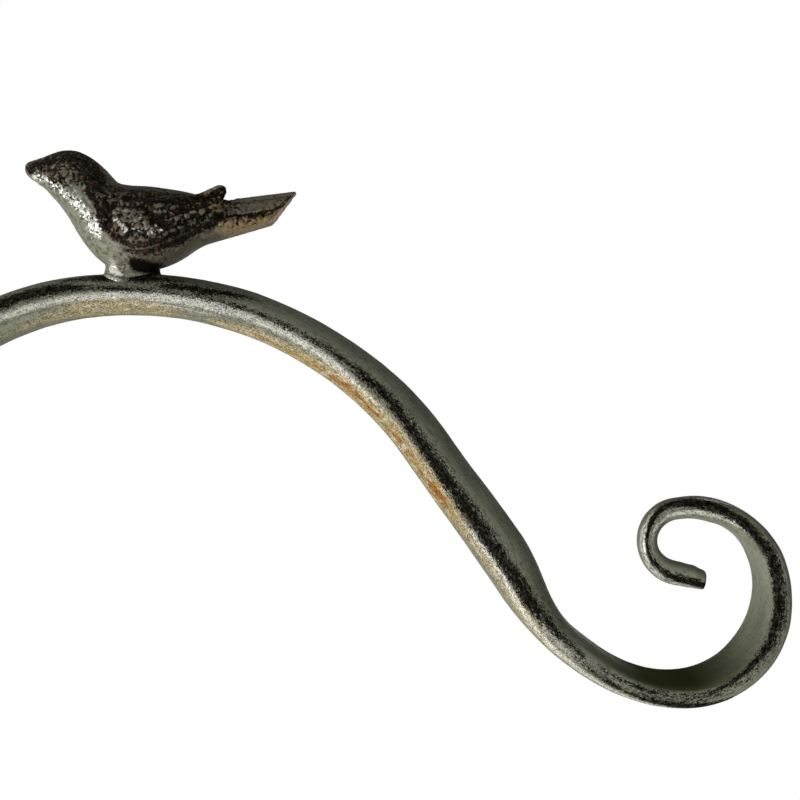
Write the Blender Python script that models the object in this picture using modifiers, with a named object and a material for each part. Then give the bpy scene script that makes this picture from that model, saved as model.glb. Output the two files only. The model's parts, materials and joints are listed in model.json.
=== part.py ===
"""Garden lantern stake: a forged crook with a cast bird, on a pole of three push-together sections.

World axes: +Z up, the crook lies in the XZ plane, the hook reaches towards +X and the bird faces -X.
The origin is on the pole's axis at ground level. Lengths are in metres.
"""
import math

import bmesh
import bpy
from mathutils import Vector

MM = 0.001

# Clearances
SEAT_GAP = 0.3 * MM        # between faces that rest on or are fixed to each other
FIT_GAP = 0.2 * MM         # radial, between a spigot and the hole it turns in
CUT_OVERRUN = 2.0 * MM     # how far a cutter runs past the face it opens
MERGE = 0.005 * MM         # merge distance, far below any real size

# Round bar of the pole and the crook
BAR_D = 12.0 * MM
BAR_CHAMFER = 0.8 * MM
BAR_SIDES = 20

# Pole, measured from the ground
CROWN_HEIGHT = 1180.0 * MM
UPPER_JOINT_HEIGHT = 790.0 * MM
LOWER_JOINT_HEIGHT = 400.0 * MM
STAKE_DEPTH = 210.0 * MM
POINT_LENGTH = 42.0 * MM
POINT_TIP_D = 3.0 * MM

# Spigots and their blind holes
SPIGOT_D = 7.0 * MM
SPIGOT_REACH = 24.0 * MM   # length in each of the two bars
SPIGOT_CHAMFER = 1.0 * MM
SPIGOT_SIDES = 20
HOLE_SPARE_DEPTH = 2.0 * MM

# Sleeves round the joints
SLEEVE_WALL = 2.6 * MM
SLEEVE_LENGTH = 40.0 * MM
SLEEVE_ROUND = 1.2 * MM
SLEEVE_SIDES = 28
SLEEVE_BRAZE_LEG = 2.4 * MM

# Crook: the line of the stock, from the pole over the crown to the tip of the curl
POLE_BEND_R = 77.0 * MM
ARCH_R = 90.5 * MM
ARCH_DEG = 55.0
SLOPE_LENGTH = 42.5 * MM
SWEEP_R = 63.0 * MM
SWEEP_DEG = 23.0
LEAD_R = 39.0 * MM
LEAD_DEG = 29.5
SCROLL_R = 21.25 * MM
SCROLL_DEG = 115.5
CURL_R = 16.0 * MM
CURL_DEG = 74.0
CURL_FLAT_LENGTH = 2.0 * MM
EYE_R = 5.0 * MM
EYE_DEG = 164.0
TIP_LENGTH = 6.8 * MM

# How square a section is: 2 is an ellipse, and the corners fill out as it grows
ROUND = 2.0

# Forging of the crook. Each row: run of the line, share along it, then the thickness in the plane of the
# crook and the width across it as shares of the bar, and how square the section is.
CROWN_share = 0.86
FORGING_SHARES = (
    ("pole", 0.00, 1.00, 1.00, 2.0),
    ("bend", 0.20, 1.00, 1.00, 2.0),
    ("bend", 0.70, 0.94, 1.00, 2.0),
    ("bend", 1.00, CROWN_share, 1.00, 2.0),
    ("arch", 0.50, 0.92, 1.00, 2.0),
    ("arch", 1.00, 1.02, 1.03, 2.0),
    ("slope", 0.75, 1.08, 1.08, 2.1),
    ("sweep", 0.71, 0.67, 1.28, 3.0),
    ("lead", 1.00, 0.54, 1.48, 3.6),
    ("scroll", 0.50, 0.52, 1.48, 3.8),
    ("scroll", 0.95, 0.52, 1.20, 3.4),
    ("curl", 0.70, 0.50, 0.80, 2.8),
    ("flat", 0.60, 0.44, 0.66, 2.6),
    ("eye", 0.40, 0.39, 0.56, 2.5),
    ("eye", 0.98, 0.50, 0.50, 2.4),
    ("tip", 0.55, 0.47, 0.56, 2.3),
    ("tip", 0.92, 0.41, 0.50, 2.3),
    ("tip", 1.00, 0.39, 0.44, 2.3),
)

# Rings of faces along each run of the crook
CROOK_STEPS = {"pole": 2, "bend": 12, "arch": 10, "slope": 6, "sweep": 8, "lead": 5, "scroll": 13, "curl": 9,
               "flat": 1, "eye": 14, "tip": 6}

# Step: a bar with a hammered tread that turns down to a second point
STEP_REACH = 112.0 * MM
STEP_BEND_R = 17.0 * MM
STEP_DEPTH = 190.0 * MM
PRONG_D = 10.0 * MM
TREAD_T = 8.0 * MM
TREAD_W = 18.0 * MM
TREAD_ROOT_W = 11.0 * MM
TREAD_ROOT_LENGTH = 14.0 * MM   # from the pole's axis to where the tread starts to spread
TREAD_SPREAD_LENGTH = 15.0 * MM
TREAD_NECK_LENGTH = 19.0 * MM   # where it draws in again before the bend
TREAD_SQUARENESS = 4.0
NECK_WIDTH_share = 1.25
NECK_SQUARENESS = 2.6
PRONG_POINT_LENGTH = 38.0 * MM
SPREAD_SHARES = (0.0, 0.3, 0.7, 1.0)
NECK_SHARES = (0.0, 0.5)
POINT_SHARES = (0.0, 0.35, 0.7, 0.9, 1.0)
BEND_STEPS = 7
BEND_ROUND_share = 0.6
WELD_LEG = 3.0 * MM
BEAD_STEPS = 2
WELD_POINTS = 24

# Bird, in its own side view: x back from the middle of the foot, z up from the top of the bar
BIRD_LENGTH = 68.0 * MM
BIRD_HEIGHT = 30.5 * MM
BIRD_WIDTH = 22.0 * MM
FOOT_LENGTH = 13.5 * MM
FOOT_WIDTH = 8.5 * MM
FOOT_SIDES = 16
FOOT_PLACE_DEG = 0.6       # how far past the crown's end of the arch the foot stands
PEG_D = 4.0 * MM
PEG_LENGTH = 15.0 * MM
PEG_IN_BAR = 6.0 * MM
BIRD_BRAZE_LEG = 1.2 * MM
BRAZE_POINTS = 32
BODY_SIDES = 8
WING_SIDES = 6
FORM_LEVEL = 2             # subdivision of the body and the wings
TAIL_LEVEL = 1
TAIL_SQUARENESS = 3.0

# Each row: centre x as a share of the length, centre z as a share of the height, heading in degrees,
# half height as a share of the height and half width as a share of half the width.
BIRD_BODY_SHARES = (
    (-0.395, 0.858, -3, 0.038, 0.08),
    (-0.375, 0.845, 6, 0.075, 0.17),
    (-0.325, 0.840, -7, 0.130, 0.32),
    (-0.245, 0.835, -22, 0.240, 0.60),
    (-0.155, 0.650, -45, 0.245, 0.70),
    (-0.110, 0.450, -25, 0.290, 0.92),
    (0.010, 0.335, -19, 0.400, 1.00),
    (0.135, 0.380, 10, 0.320, 0.94),
    (0.225, 0.450, 10, 0.220, 0.76),
    (0.310, 0.440, 12, 0.170, 0.56),
    (0.390, 0.460, 10, 0.125, 0.40),
)

# Each row: x and z of a point on the wing's long axis, heading, half height, half thickness as a share of
# half the width, and how far the wing's middle lies out from the bird's middle plane, by the same share.
BIRD_WING_SHARES = (
    (-0.093, 0.446, -30, 0.085, 0.14, 0.62),
    (-0.041, 0.380, -10, 0.200, 0.22, 0.80),
    (0.059, 0.338, 2, 0.243, 0.24, 0.90),
    (0.156, 0.390, 14, 0.203, 0.23, 0.84),
    (0.244, 0.456, 24, 0.148, 0.20, 0.66),
    (0.303, 0.551, 38, 0.098, 0.15, 0.52),
    (0.355, 0.690, 60, 0.050, 0.09, 0.46),
)
WING_LEAN_DEG = 16.0       # top edge of the wing leans in over the back

# Each tail feather band: start x, start z, end x, end z, half height at start and end, half width
BIRD_TAIL_SHARES = (
    (0.28, 0.510, 0.604, 0.630, 0.058, 0.030, 0.26),
    (0.28, 0.440, 0.578, 0.555, 0.075, 0.045, 0.36),
    (0.28, 0.345, 0.530, 0.465, 0.075, 0.052, 0.46),
)
TAIL_RING_SHARES = (0.0, 0.45, 0.85, 1.0)

# The stub foot, from inside the bar up into the belly: height by the bird's height, then its size by the
# foot's length and width
FOOT_SHARES = ((-0.16, 1.12), (0.0, 1.0), (0.12, 1.0), (0.25, 1.3))

SMOOTH_DEG = 35.0          # edges sharper than this stay crisp

# Paint, metal and braze: colour, roughness, metallic
SAGE_PAINT = ((0.13, 0.14, 0.11), 0.5, 0.6)
DARK_PAINT = ((0.09, 0.085, 0.07), 0.55, 0.6)
BRIGHT_STEEL = ((0.50, 0.49, 0.46), 0.35, 1.0)
BRAZE = ((0.30, 0.24, 0.14), 0.45, 0.9)


# Collections and materials

def new_collection(name):
    collection = bpy.data.collections.new(name)
    bpy.context.scene.collection.children.link(collection)
    return collection


def new_material(name, look):
    colour, roughness, metallic = look
    material = bpy.data.materials.new(name)
    material.use_nodes = True
    shader = material.node_tree.nodes["Principled BSDF"]
    shader.inputs["Base Color"].default_value = (*colour, 1.0)
    shader.inputs["Roughness"].default_value = roughness
    shader.inputs["Metallic"].default_value = metallic
    return material


def new_object(name, mesh, collection, look=None, parent=None):
    """Link a mesh as an object; a parent is an empty whose place the mesh's points are relative to."""
    item = bpy.data.objects.new(name, mesh)
    collection.objects.link(item)
    if look:
        mesh.materials.append(new_material(name, look))
        mesh.shade_smooth()
        mesh.set_sharp_from_angle(angle=math.radians(SMOOTH_DEG))
    else:
        item.display_type = "WIRE"
        item.hide_render = True
    if parent:
        item.parent = parent
        item.matrix_parent_inverse = parent.matrix_world.inverted()
    return item


def new_empty(name, place, collection, parent=None):
    empty = bpy.data.objects.new(name, None)
    empty.location = place
    collection.objects.link(empty)
    bpy.context.view_layer.update()
    if parent:
        empty.parent = parent
        empty.matrix_parent_inverse = parent.matrix_world.inverted()
        bpy.context.view_layer.update()
    return empty


def add_boolean(item, operation, other):
    cut = item.modifiers.new(operation.title() + " " + other.name, "BOOLEAN")
    cut.operation = operation
    cut.solver = "EXACT"
    cut.object = other
    return cut


# Turned pieces: a profile of (radius, height) points spun round the pole's axis

def add_turned(name, profile, sides, collection, look, parent, closed=False):
    mesh = bpy.data.meshes.new(name)
    points = [(radius, 0.0, height) for radius, height in profile]
    edges = [(i, i + 1) for i in range(len(points) - 1)]
    if closed:
        edges.append((len(points) - 1, 0))
    mesh.from_pydata(points, edges, [])
    item = new_object(name, mesh, collection, look, parent)
    spin = item.modifiers.new("Turn", "SCREW")
    spin.axis = "Z"
    spin.steps = sides
    spin.render_steps = sides
    spin.use_merge_vertices = True
    spin.merge_threshold = MERGE
    spin.use_smooth_shade = True
    return item


def hole_from_top(top, depth):
    """Profile of a blind hole in a bar's top face, from the axis outwards."""
    radius = SPIGOT_D / 2 + FIT_GAP
    return [(0.0, top - depth), (radius, top - depth), (radius, top), (BAR_D / 2 - BAR_CHAMFER, top),
            (BAR_D / 2, top - BAR_CHAMFER)]


def hole_from_bottom(bottom, depth):
    """Profile of a blind hole in a bar's bottom face, inwards to the axis."""
    radius = SPIGOT_D / 2 + FIT_GAP
    return [(BAR_D / 2, bottom + BAR_CHAMFER), (BAR_D / 2 - BAR_CHAMFER, bottom), (radius, bottom),
            (radius, bottom + depth), (0.0, bottom + depth)]


def add_stake_bar(collection, parent):
    top = LOWER_JOINT_HEIGHT
    profile = hole_from_top(top, SPIGOT_REACH + SEAT_GAP)
    profile += [(BAR_D / 2, POINT_LENGTH - STAKE_DEPTH), (POINT_TIP_D / 2, -STAKE_DEPTH), (0.0, -STAKE_DEPTH)]
    return add_turned("stake_bar", profile, BAR_SIDES, collection, SAGE_PAINT, parent)


def add_middle_bar(collection, parent):
    bottom = LOWER_JOINT_HEIGHT + SEAT_GAP
    profile = hole_from_top(UPPER_JOINT_HEIGHT, SPIGOT_REACH + SEAT_GAP)
    profile += hole_from_bottom(bottom, SPIGOT_REACH + HOLE_SPARE_DEPTH)
    return add_turned("middle_bar", profile, BAR_SIDES, collection, SAGE_PAINT, parent)


def add_spigot(name, joint_height, collection, parent):
    """A plain pin; its lower end rests on the bottom of the lower bar's hole."""
    radius = SPIGOT_D / 2
    low = joint_height - SPIGOT_REACH
    high = joint_height + SPIGOT_REACH
    profile = [(0.0, high), (radius - SPIGOT_CHAMFER, high), (radius, high - SPIGOT_CHAMFER),
               (radius, low + SPIGOT_CHAMFER), (radius - SPIGOT_CHAMFER, low), (0.0, low)]
    return add_turned(name, profile, SPIGOT_SIDES, collection, BRIGHT_STEEL, parent)


def add_sleeve(name, joint_height, collection, parent):
    """A socket round the joint, fixed to the lower bar, with its rims rounded inside and out."""
    bore = BAR_D / 2 + SEAT_GAP
    outer = bore + SLEEVE_WALL
    low = joint_height - SLEEVE_LENGTH / 2
    high = joint_height + SLEEVE_LENGTH / 2
    turn = SLEEVE_ROUND
    half = turn * (1.0 - math.cos(math.pi / 4))
    profile = [(outer - turn, high), (outer - half, high - half), (outer, high - turn),
               (outer, low + turn), (outer - half, low + half), (outer - turn, low),
               (bore, low), (bore, high - turn), (bore + half, high - half), (bore + turn / 2, high)]
    return add_turned(name, profile, SLEEVE_SIDES, collection, SAGE_PAINT, parent, closed=True)


def add_sleeve_braze(name, joint_height, collection, parent):
    """The fillet under a sleeve, hollow-faced from the bar out to the sleeve's lower rim."""
    inner = BAR_D / 2 + SEAT_GAP
    high = joint_height - SLEEVE_LENGTH / 2 - SEAT_GAP
    leg = SLEEVE_BRAZE_LEG
    hollow = leg * (1.0 - math.cos(math.pi / 4))
    profile = [(inner, high), (inner + leg, high), (inner + hollow, high - hollow), (inner, high - leg)]
    return add_turned(name, profile, SLEEVE_SIDES, collection, BRAZE, parent, closed=True)


# Lines made of straights and arcs in the XZ plane

def lay_out(start, heading_deg, runs):
    """Lay runs end to end. A run is (name, radius or None, length or degrees); a positive radius turns left.

    Returns name -> (start point, start heading, signed radius or None, length)."""
    line = {}
    point = Vector(start)
    heading = math.radians(heading_deg)
    for name, radius, amount in runs:
        if radius is None:
            line[name] = (point.copy(), heading, None, amount)
            point += amount * along(heading)
        else:
            turn = math.copysign(math.radians(amount), radius)
            line[name] = (point.copy(), heading, radius, abs(radius * turn))
            centre = point + radius * left_of(heading)
            heading += turn
            point = centre - radius * left_of(heading)
    return line


def along(heading):
    return Vector((math.cos(heading), 0.0, math.sin(heading)))


def left_of(heading):
    return Vector((-math.sin(heading), 0.0, math.cos(heading)))


def on_line(line, name, share):
    """The point and heading at a share of the way along one run."""
    start, heading, radius, length = line[name]
    if radius is None:
        return start + share * length * along(heading), heading
    centre = start + radius * left_of(heading)
    heading += share * length / radius
    return centre - radius * left_of(heading), heading


def way_along(line, name, share):
    """Distance from the start of the line."""
    total = 0.0
    for run, (_, _, _, length) in line.items():
        if run == name:
            return total + share * length
        total += length
    raise KeyError(name)


def ease(value):
    return value * value * (3.0 - 2.0 * value)


def forged_sizes(way, keys):
    """Thickness, width and squareness at a distance, eased between the rows of the forging table."""
    if way <= keys[0][0]:
        return keys[0][1:]
    for low, high in zip(keys, keys[1:]):
        if way <= high[0]:
            mix = ease((way - low[0]) / (high[0] - low[0]))
            return tuple(a + mix * (b - a) for a, b in zip(low[1:], high[1:]))
    return keys[-1][1:]


# Lofts

def section_ring(centre, heading, half_height, half_width, sides, squareness=ROUND, lean=0.0):
    """Points of a rounded section that faces along the heading, set out round its centre."""
    ring = []
    power = 2.0 / squareness
    for i in range(sides):
        angle = math.tau * (i + 0.5) / sides
        up = math.copysign(abs(math.sin(angle)) ** power, math.sin(angle)) * half_height
        out = math.copysign(abs(math.cos(angle)) ** power, math.cos(angle)) * half_width
        out, up = out * math.cos(lean) - up * math.sin(lean), out * math.sin(lean) + up * math.cos(lean)
        ring.append(centre + up * left_of(heading) + Vector((0.0, out, 0.0)))
    return ring


def loft_mesh(name, rings):
    """Skin over rings with the same number of points, capped at both ends, faces outwards."""
    shape = bmesh.new()
    rows = [[shape.verts.new(point) for point in ring] for ring in rings]
    for low, high in zip(rows, rows[1:]):
        for i in range(len(low)):
            j = (i + 1) % len(low)
            shape.faces.new((low[i], low[j], high[j], high[i]))
    shape.faces.new(rows[0][::-1])
    shape.faces.new(rows[-1])
    bmesh.ops.recalc_face_normals(shape, faces=shape.faces)
    mesh = bpy.data.meshes.new(name)
    shape.to_mesh(mesh)
    shape.free()
    return mesh


def crook_line():
    bend_start = CROWN_HEIGHT - POLE_BEND_R
    pole_start = UPPER_JOINT_HEIGHT + SEAT_GAP
    runs = (("pole", None, bend_start - pole_start), ("bend", -POLE_BEND_R, 90.0),
            ("arch", -ARCH_R, ARCH_DEG), ("slope", None, SLOPE_LENGTH),
            ("sweep", SWEEP_R, SWEEP_DEG), ("lead", LEAD_R, LEAD_DEG),
            ("scroll", SCROLL_R, SCROLL_DEG), ("curl", CURL_R, CURL_DEG),
            ("flat", None, CURL_FLAT_LENGTH), ("eye", EYE_R, EYE_DEG), ("tip", None, TIP_LENGTH))
    return lay_out((0.0, 0.0, pole_start), 90.0, runs)


def crook_rings(line, allowance=0.0, runs=None):
    """Rings of the forged bar. The outer face keeps the line of the stock, so what the hammer takes off or
    gathers up shows on the inner side of the scroll. An allowance makes every section larger, for cutters."""
    keys = [(way_along(line, name, share), thick * BAR_D, wide * BAR_D, square)
            for name, share, thick, wide, square in FORGING_SHARES]
    rings = []
    for name in runs or line:
        steps = CROOK_STEPS[name]
        for i in range(steps + 1):
            if i == 0 and rings:
                continue
            point, heading = on_line(line, name, i / steps)
            thickness, width, squareness = forged_sizes(way_along(line, name, i / steps), keys)
            centre = point + (thickness - BAR_D) / 2 * left_of(heading)
            rings.append(section_ring(centre, heading, thickness / 2 + allowance, width / 2 + allowance,
                                      BAR_SIDES, squareness))
    return rings


def add_rod_cutter(name, radius, low, high, sides, collection, axis_x=0.0):
    mesh = bpy.data.meshes.new(name)
    shape = bmesh.new()
    bmesh.ops.create_cone(shape, cap_ends=True, segments=sides, radius1=radius, radius2=radius,
                          depth=high - low)
    bmesh.ops.translate(shape, verts=shape.verts, vec=(axis_x, 0.0, (low + high) / 2))
    shape.to_mesh(mesh)
    shape.free()
    return new_object(name, mesh, collection)


def add_crook_bar(line, foot, parts, cutters, parent):
    bar = new_object("crook_bar", loft_mesh("crook_bar", crook_rings(line)), parts, SAGE_PAINT, parent)
    low = UPPER_JOINT_HEIGHT
    hole = add_rod_cutter("crook_hole_cutter", SPIGOT_D / 2 + FIT_GAP, low - CUT_OVERRUN,
                          low + SEAT_GAP + SPIGOT_REACH + HOLE_SPARE_DEPTH, SPIGOT_SIDES, cutters)
    add_boolean(bar, "DIFFERENCE", hole)
    peg_hole = add_rod_cutter("peg_hole_cutter", PEG_D / 2 + FIT_GAP, foot.z - PEG_IN_BAR - SEAT_GAP,
                              foot.z - PEG_IN_BAR + PEG_LENGTH + SEAT_GAP, SPIGOT_SIDES, cutters, foot.x)
    add_boolean(bar, "DIFFERENCE", peg_hole)
    return peg_hole


# Step

def step_line():
    """From the pole's axis out along the tread, round the bend and down to the point."""
    fall = STEP_DEPTH + TREAD_T / 2 - STEP_BEND_R
    runs = (("tread", None, STEP_REACH - STEP_BEND_R), ("bend", -STEP_BEND_R, 90.0),
            ("prong", None, fall - PRONG_POINT_LENGTH), ("point", None, PRONG_POINT_LENGTH))
    return lay_out((0.0, 0.0, TREAD_T / 2), 0.0, runs)


def step_rings(line, allowance=0.0):
    """The hammered tread, the round prong and its drawn point."""
    tread = line["tread"][3]
    root = TREAD_ROOT_LENGTH / tread
    wide = (TREAD_ROOT_LENGTH + TREAD_SPREAD_LENGTH) / tread
    neck = 1.0 - TREAD_NECK_LENGTH / tread
    rows = (("tread", root, TREAD_T, TREAD_ROOT_W, TREAD_SQUARENESS),
            ("tread", wide, TREAD_T, TREAD_W, TREAD_SQUARENESS),
            ("tread", neck, TREAD_T, TREAD_W, TREAD_SQUARENESS),
            ("bend", 0.0, PRONG_D, PRONG_D * NECK_WIDTH_share, NECK_SQUARENESS),
            ("bend", BEND_ROUND_share, PRONG_D, PRONG_D, ROUND),
            ("point", 0.0, PRONG_D, PRONG_D, ROUND), ("point", 1.0, POINT_TIP_D, POINT_TIP_D, ROUND))
    keys = [(way_along(line, name, share), *sizes) for name, share, *sizes in rows]
    places = [("tread", 0.0)]
    places += [("tread", root + share * (wide - root)) for share in SPREAD_SHARES]
    places += [("tread", neck + share * (1.0 - neck)) for share in NECK_SHARES]
    places += [("bend", i / BEND_STEPS) for i in range(BEND_STEPS + 1)]
    places += [("point", share) for share in POINT_SHARES]
    rings = []
    for name, share in places:
        point, heading = on_line(line, name, share)
        thickness, width, squareness = forged_sizes(way_along(line, name, share), keys)
        rings.append(section_ring(point, heading, thickness / 2 + allowance, width / 2 + allowance, BAR_SIDES,
                                  squareness))
    return rings


def add_bead(name, path, radius, parts, look, parent):
    """A weld or braze bead laid along a closed path, as a mesh that can be cut."""
    curve = bpy.data.curves.new(name, "CURVE")
    curve.dimensions = "3D"
    curve.bevel_depth = radius
    curve.bevel_resolution = BEAD_STEPS
    spline = curve.splines.new("POLY")
    spline.points.add(len(path) - 1)
    for knot, place in zip(spline.points, path):
        knot.co = (*place, 1.0)
    spline.use_cyclic_u = True
    tube = bpy.data.objects.new(name + "_path", curve)
    parts.objects.link(tube)
    bpy.context.view_layer.update()
    solid = tube.evaluated_get(bpy.context.evaluated_depsgraph_get())
    mesh = bpy.data.meshes.new_from_object(solid)
    mesh.name = name
    bpy.data.objects.remove(tube)
    return new_object(name, mesh, parts, look, parent)


def add_step(parts, cutters, parent):
    line = step_line()
    bar = new_object("step_bar", loft_mesh("step_bar", step_rings(line)), parts, SAGE_PAINT, parent)
    pole = add_rod_cutter("pole_cutter", BAR_D / 2 + SEAT_GAP, -STEP_DEPTH, LOWER_JOINT_HEIGHT / 2, BAR_SIDES,
                          cutters)
    add_boolean(bar, "DIFFERENCE", pole)
    path = []
    for i in range(WELD_POINTS):
        angle = math.tau * i / WELD_POINTS
        out = TREAD_ROOT_W / 2 * math.cos(angle)
        path.append(Vector((math.sqrt((BAR_D / 2) ** 2 - out ** 2), out,
                            TREAD_T / 2 + TREAD_T / 2 * math.sin(angle))))
    weld = add_bead("step_weld", path, WELD_LEG / 2, parts, BRAZE, parent)
    tread = new_object("tread_cutter", loft_mesh("tread_cutter", step_rings(line, SEAT_GAP)), cutters)
    add_boolean(weld, "DIFFERENCE", pole)
    add_boolean(weld, "DIFFERENCE", tread)


# Bird

def bird_place(x_share, z_share, foot, out_share=0.0):
    return foot + Vector((x_share * BIRD_LENGTH, out_share * BIRD_WIDTH / 2, z_share * BIRD_HEIGHT))


def cage_swell(sides):
    """A ring of points drawn round a cage shrinks when it is subdivided, and this is made up beforehand."""
    return 6.0 / (4.0 + 2.0 * math.cos(math.tau / sides))


def cage_object(name, rings, level, collection, look=None, parent=None):
    item = new_object(name, loft_mesh(name, rings), collection, look, parent)
    soft = item.modifiers.new("Soften", "SUBSURF")
    soft.levels = level
    soft.render_levels = level
    return item


def body_rings(foot):
    rings = []
    for x, z, heading, height, width in BIRD_BODY_SHARES:
        rings.append(section_ring(bird_place(x, z, foot), math.radians(heading),
                                  height * BIRD_HEIGHT * cage_swell(BODY_SIDES),
                                  width * BIRD_WIDTH / 2 * cage_swell(BODY_SIDES), BODY_SIDES))
    return rings


def wing_rings(foot, side):
    rings = []
    for x, z, heading, height, thick, out in BIRD_WING_SHARES:
        rings.append(section_ring(bird_place(x, z, foot, side * out), math.radians(heading),
                                  height * BIRD_HEIGHT * cage_swell(WING_SIDES),
                                  thick * BIRD_WIDTH / 2 * cage_swell(WING_SIDES), WING_SIDES,
                                  lean=side * math.radians(WING_LEAN_DEG)))
    return rings


def tail_band_rings(foot, band):
    x0, z0, x1, z1, height0, height1, width = band
    rings = []
    heading = math.atan2((z1 - z0) * BIRD_HEIGHT, (x1 - x0) * BIRD_LENGTH)
    for share in TAIL_RING_SHARES:
        place = bird_place(x0 + share * (x1 - x0), z0 + share * (z1 - z0), foot)
        height = (height0 + share * (height1 - height0)) * BIRD_HEIGHT
        rings.append(section_ring(place, heading, height * cage_swell(BODY_SIDES), width * BIRD_WIDTH / 2,
                                  BODY_SIDES, TAIL_SQUARENESS))
    return rings


def foot_rings(foot, allowance=0.0):
    rings = []
    for height, swell in FOOT_SHARES:
        centre = foot + Vector((0.0, 0.0, height * BIRD_HEIGHT))
        rings.append(section_ring(centre, math.pi / 2, FOOT_LENGTH / 2 * swell + allowance,
                                  FOOT_WIDTH / 2 * swell + allowance, FOOT_SIDES))
    return rings


def add_bird(line, foot, peg_hole, parts, cutters, parent):
    """One casting: the body, both wings, three tail bands and the stub foot, saddled over the bar."""
    bird = cage_object("bird", body_rings(foot), FORM_LEVEL, parts, DARK_PAINT, parent)
    for side, name in ((-1, "near_wing"), (1, "far_wing")):
        add_boolean(bird, "UNION", cage_object(name, wing_rings(foot, side), FORM_LEVEL, cutters))
    for i, band in enumerate(BIRD_TAIL_SHARES):
        name = "tail_band_%d" % (i + 1)
        add_boolean(bird, "UNION", cage_object(name, tail_band_rings(foot, band), TAIL_LEVEL, cutters))
    stub = new_object("foot_stub", loft_mesh("foot_stub", foot_rings(foot)), cutters)
    add_boolean(bird, "UNION", stub)
    saddle_mesh = loft_mesh("saddle_cutter", crook_rings(line, SEAT_GAP, ("bend", "arch")))
    saddle = new_object("saddle_cutter", saddle_mesh, cutters)
    add_boolean(bird, "DIFFERENCE", saddle)
    add_boolean(bird, "DIFFERENCE", peg_hole)
    add_bird_braze(foot, saddle, parts, cutters, parent)


def add_bird_braze(foot, saddle, parts, cutters, parent):
    """The fillet round the foot, laid along the line where the foot meets the bar."""
    half_thickness = CROWN_share * BAR_D / 2
    top_radius = ARCH_R + CROWN_share * BAR_D - BAR_D / 2
    path = []
    for i in range(BRAZE_POINTS):
        angle = math.tau * i / BRAZE_POINTS
        out = FOOT_WIDTH / 2 * math.sin(angle)
        back = FOOT_LENGTH / 2 * math.cos(angle)
        drop = half_thickness * (1.0 - math.sqrt(1.0 - (2.0 * out / BAR_D) ** 2))
        fall = top_radius - math.sqrt(top_radius ** 2 - back ** 2)
        path.append(foot + Vector((back, out, -drop - fall)))
    braze = add_bead("bird_braze", path, BIRD_BRAZE_LEG, parts, BRAZE, parent)
    add_boolean(braze, "DIFFERENCE", saddle)
    around = new_object("foot_clearance", loft_mesh("foot_clearance", foot_rings(foot, SEAT_GAP)), cutters)
    add_boolean(braze, "DIFFERENCE", around)


def add_peg(foot, collection, parent):
    """The pin that locates the foot: it runs from the bar up into the bird."""
    mesh = bpy.data.meshes.new("bird_peg")
    shape = bmesh.new()
    bmesh.ops.create_cone(shape, cap_ends=True, segments=SPIGOT_SIDES, radius1=PEG_D / 2, radius2=PEG_D / 2,
                          depth=PEG_LENGTH)
    bmesh.ops.translate(shape, verts=shape.verts,
                        vec=foot + Vector((0.0, 0.0, PEG_LENGTH / 2 - PEG_IN_BAR)))
    shape.to_mesh(mesh)
    shape.free()
    return new_object("bird_peg", mesh, collection, BRIGHT_STEEL, parent)


def foot_place(line):
    """The point on top of the bar, just past the crown, where the bird stands."""
    point, heading = on_line(line, "arch", FOOT_PLACE_DEG / ARCH_DEG)
    return point + (CROWN_share * BAR_D - BAR_D / 2) * left_of(heading)


def build():
    for old in list(bpy.data.objects):
        bpy.data.objects.remove(old)
    parts = new_collection("garden_lantern_stake")
    cutters = bpy.data.collections.new("cutters")
    parts.children.link(cutters)

    ground = new_empty("ground_stake_axis", (0.0, 0.0, 0.0), parts)
    lower_turn = new_empty("lower_joint_axis", (0.0, 0.0, LOWER_JOINT_HEIGHT), parts, ground)
    upper_turn = new_empty("upper_joint_axis", (0.0, 0.0, UPPER_JOINT_HEIGHT), parts, lower_turn)

    add_stake_bar(parts, ground)
    add_step(parts, cutters, ground)
    add_sleeve("lower_sleeve", LOWER_JOINT_HEIGHT, parts, ground)
    add_sleeve_braze("lower_sleeve_braze", LOWER_JOINT_HEIGHT, parts, ground)
    add_spigot("lower_spigot", LOWER_JOINT_HEIGHT, parts, lower_turn)

    add_middle_bar(parts, lower_turn)
    add_sleeve("upper_sleeve", UPPER_JOINT_HEIGHT, parts, lower_turn)
    add_sleeve_braze("upper_sleeve_braze", UPPER_JOINT_HEIGHT, parts, lower_turn)
    add_spigot("upper_spigot", UPPER_JOINT_HEIGHT, parts, upper_turn)

    line = crook_line()
    foot = foot_place(line)
    peg_hole = add_crook_bar(line, foot, parts, cutters, upper_turn)
    add_bird(line, foot, peg_hole, parts, cutters, upper_turn)
    add_peg(foot, parts, upper_turn)


build()
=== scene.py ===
# %% [markdown]
# A garden lantern stake. A round steel bar is forged into a crook, a small cast bird is brazed on its crown,
# and the bar stands on a pole of three lengths that push together. The paint is sage grey, and it was rubbed
# back by hand, so that black and ochre show through along the bar.
#
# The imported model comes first. It gives every place in this file, and none of its nodes is moved.

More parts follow.
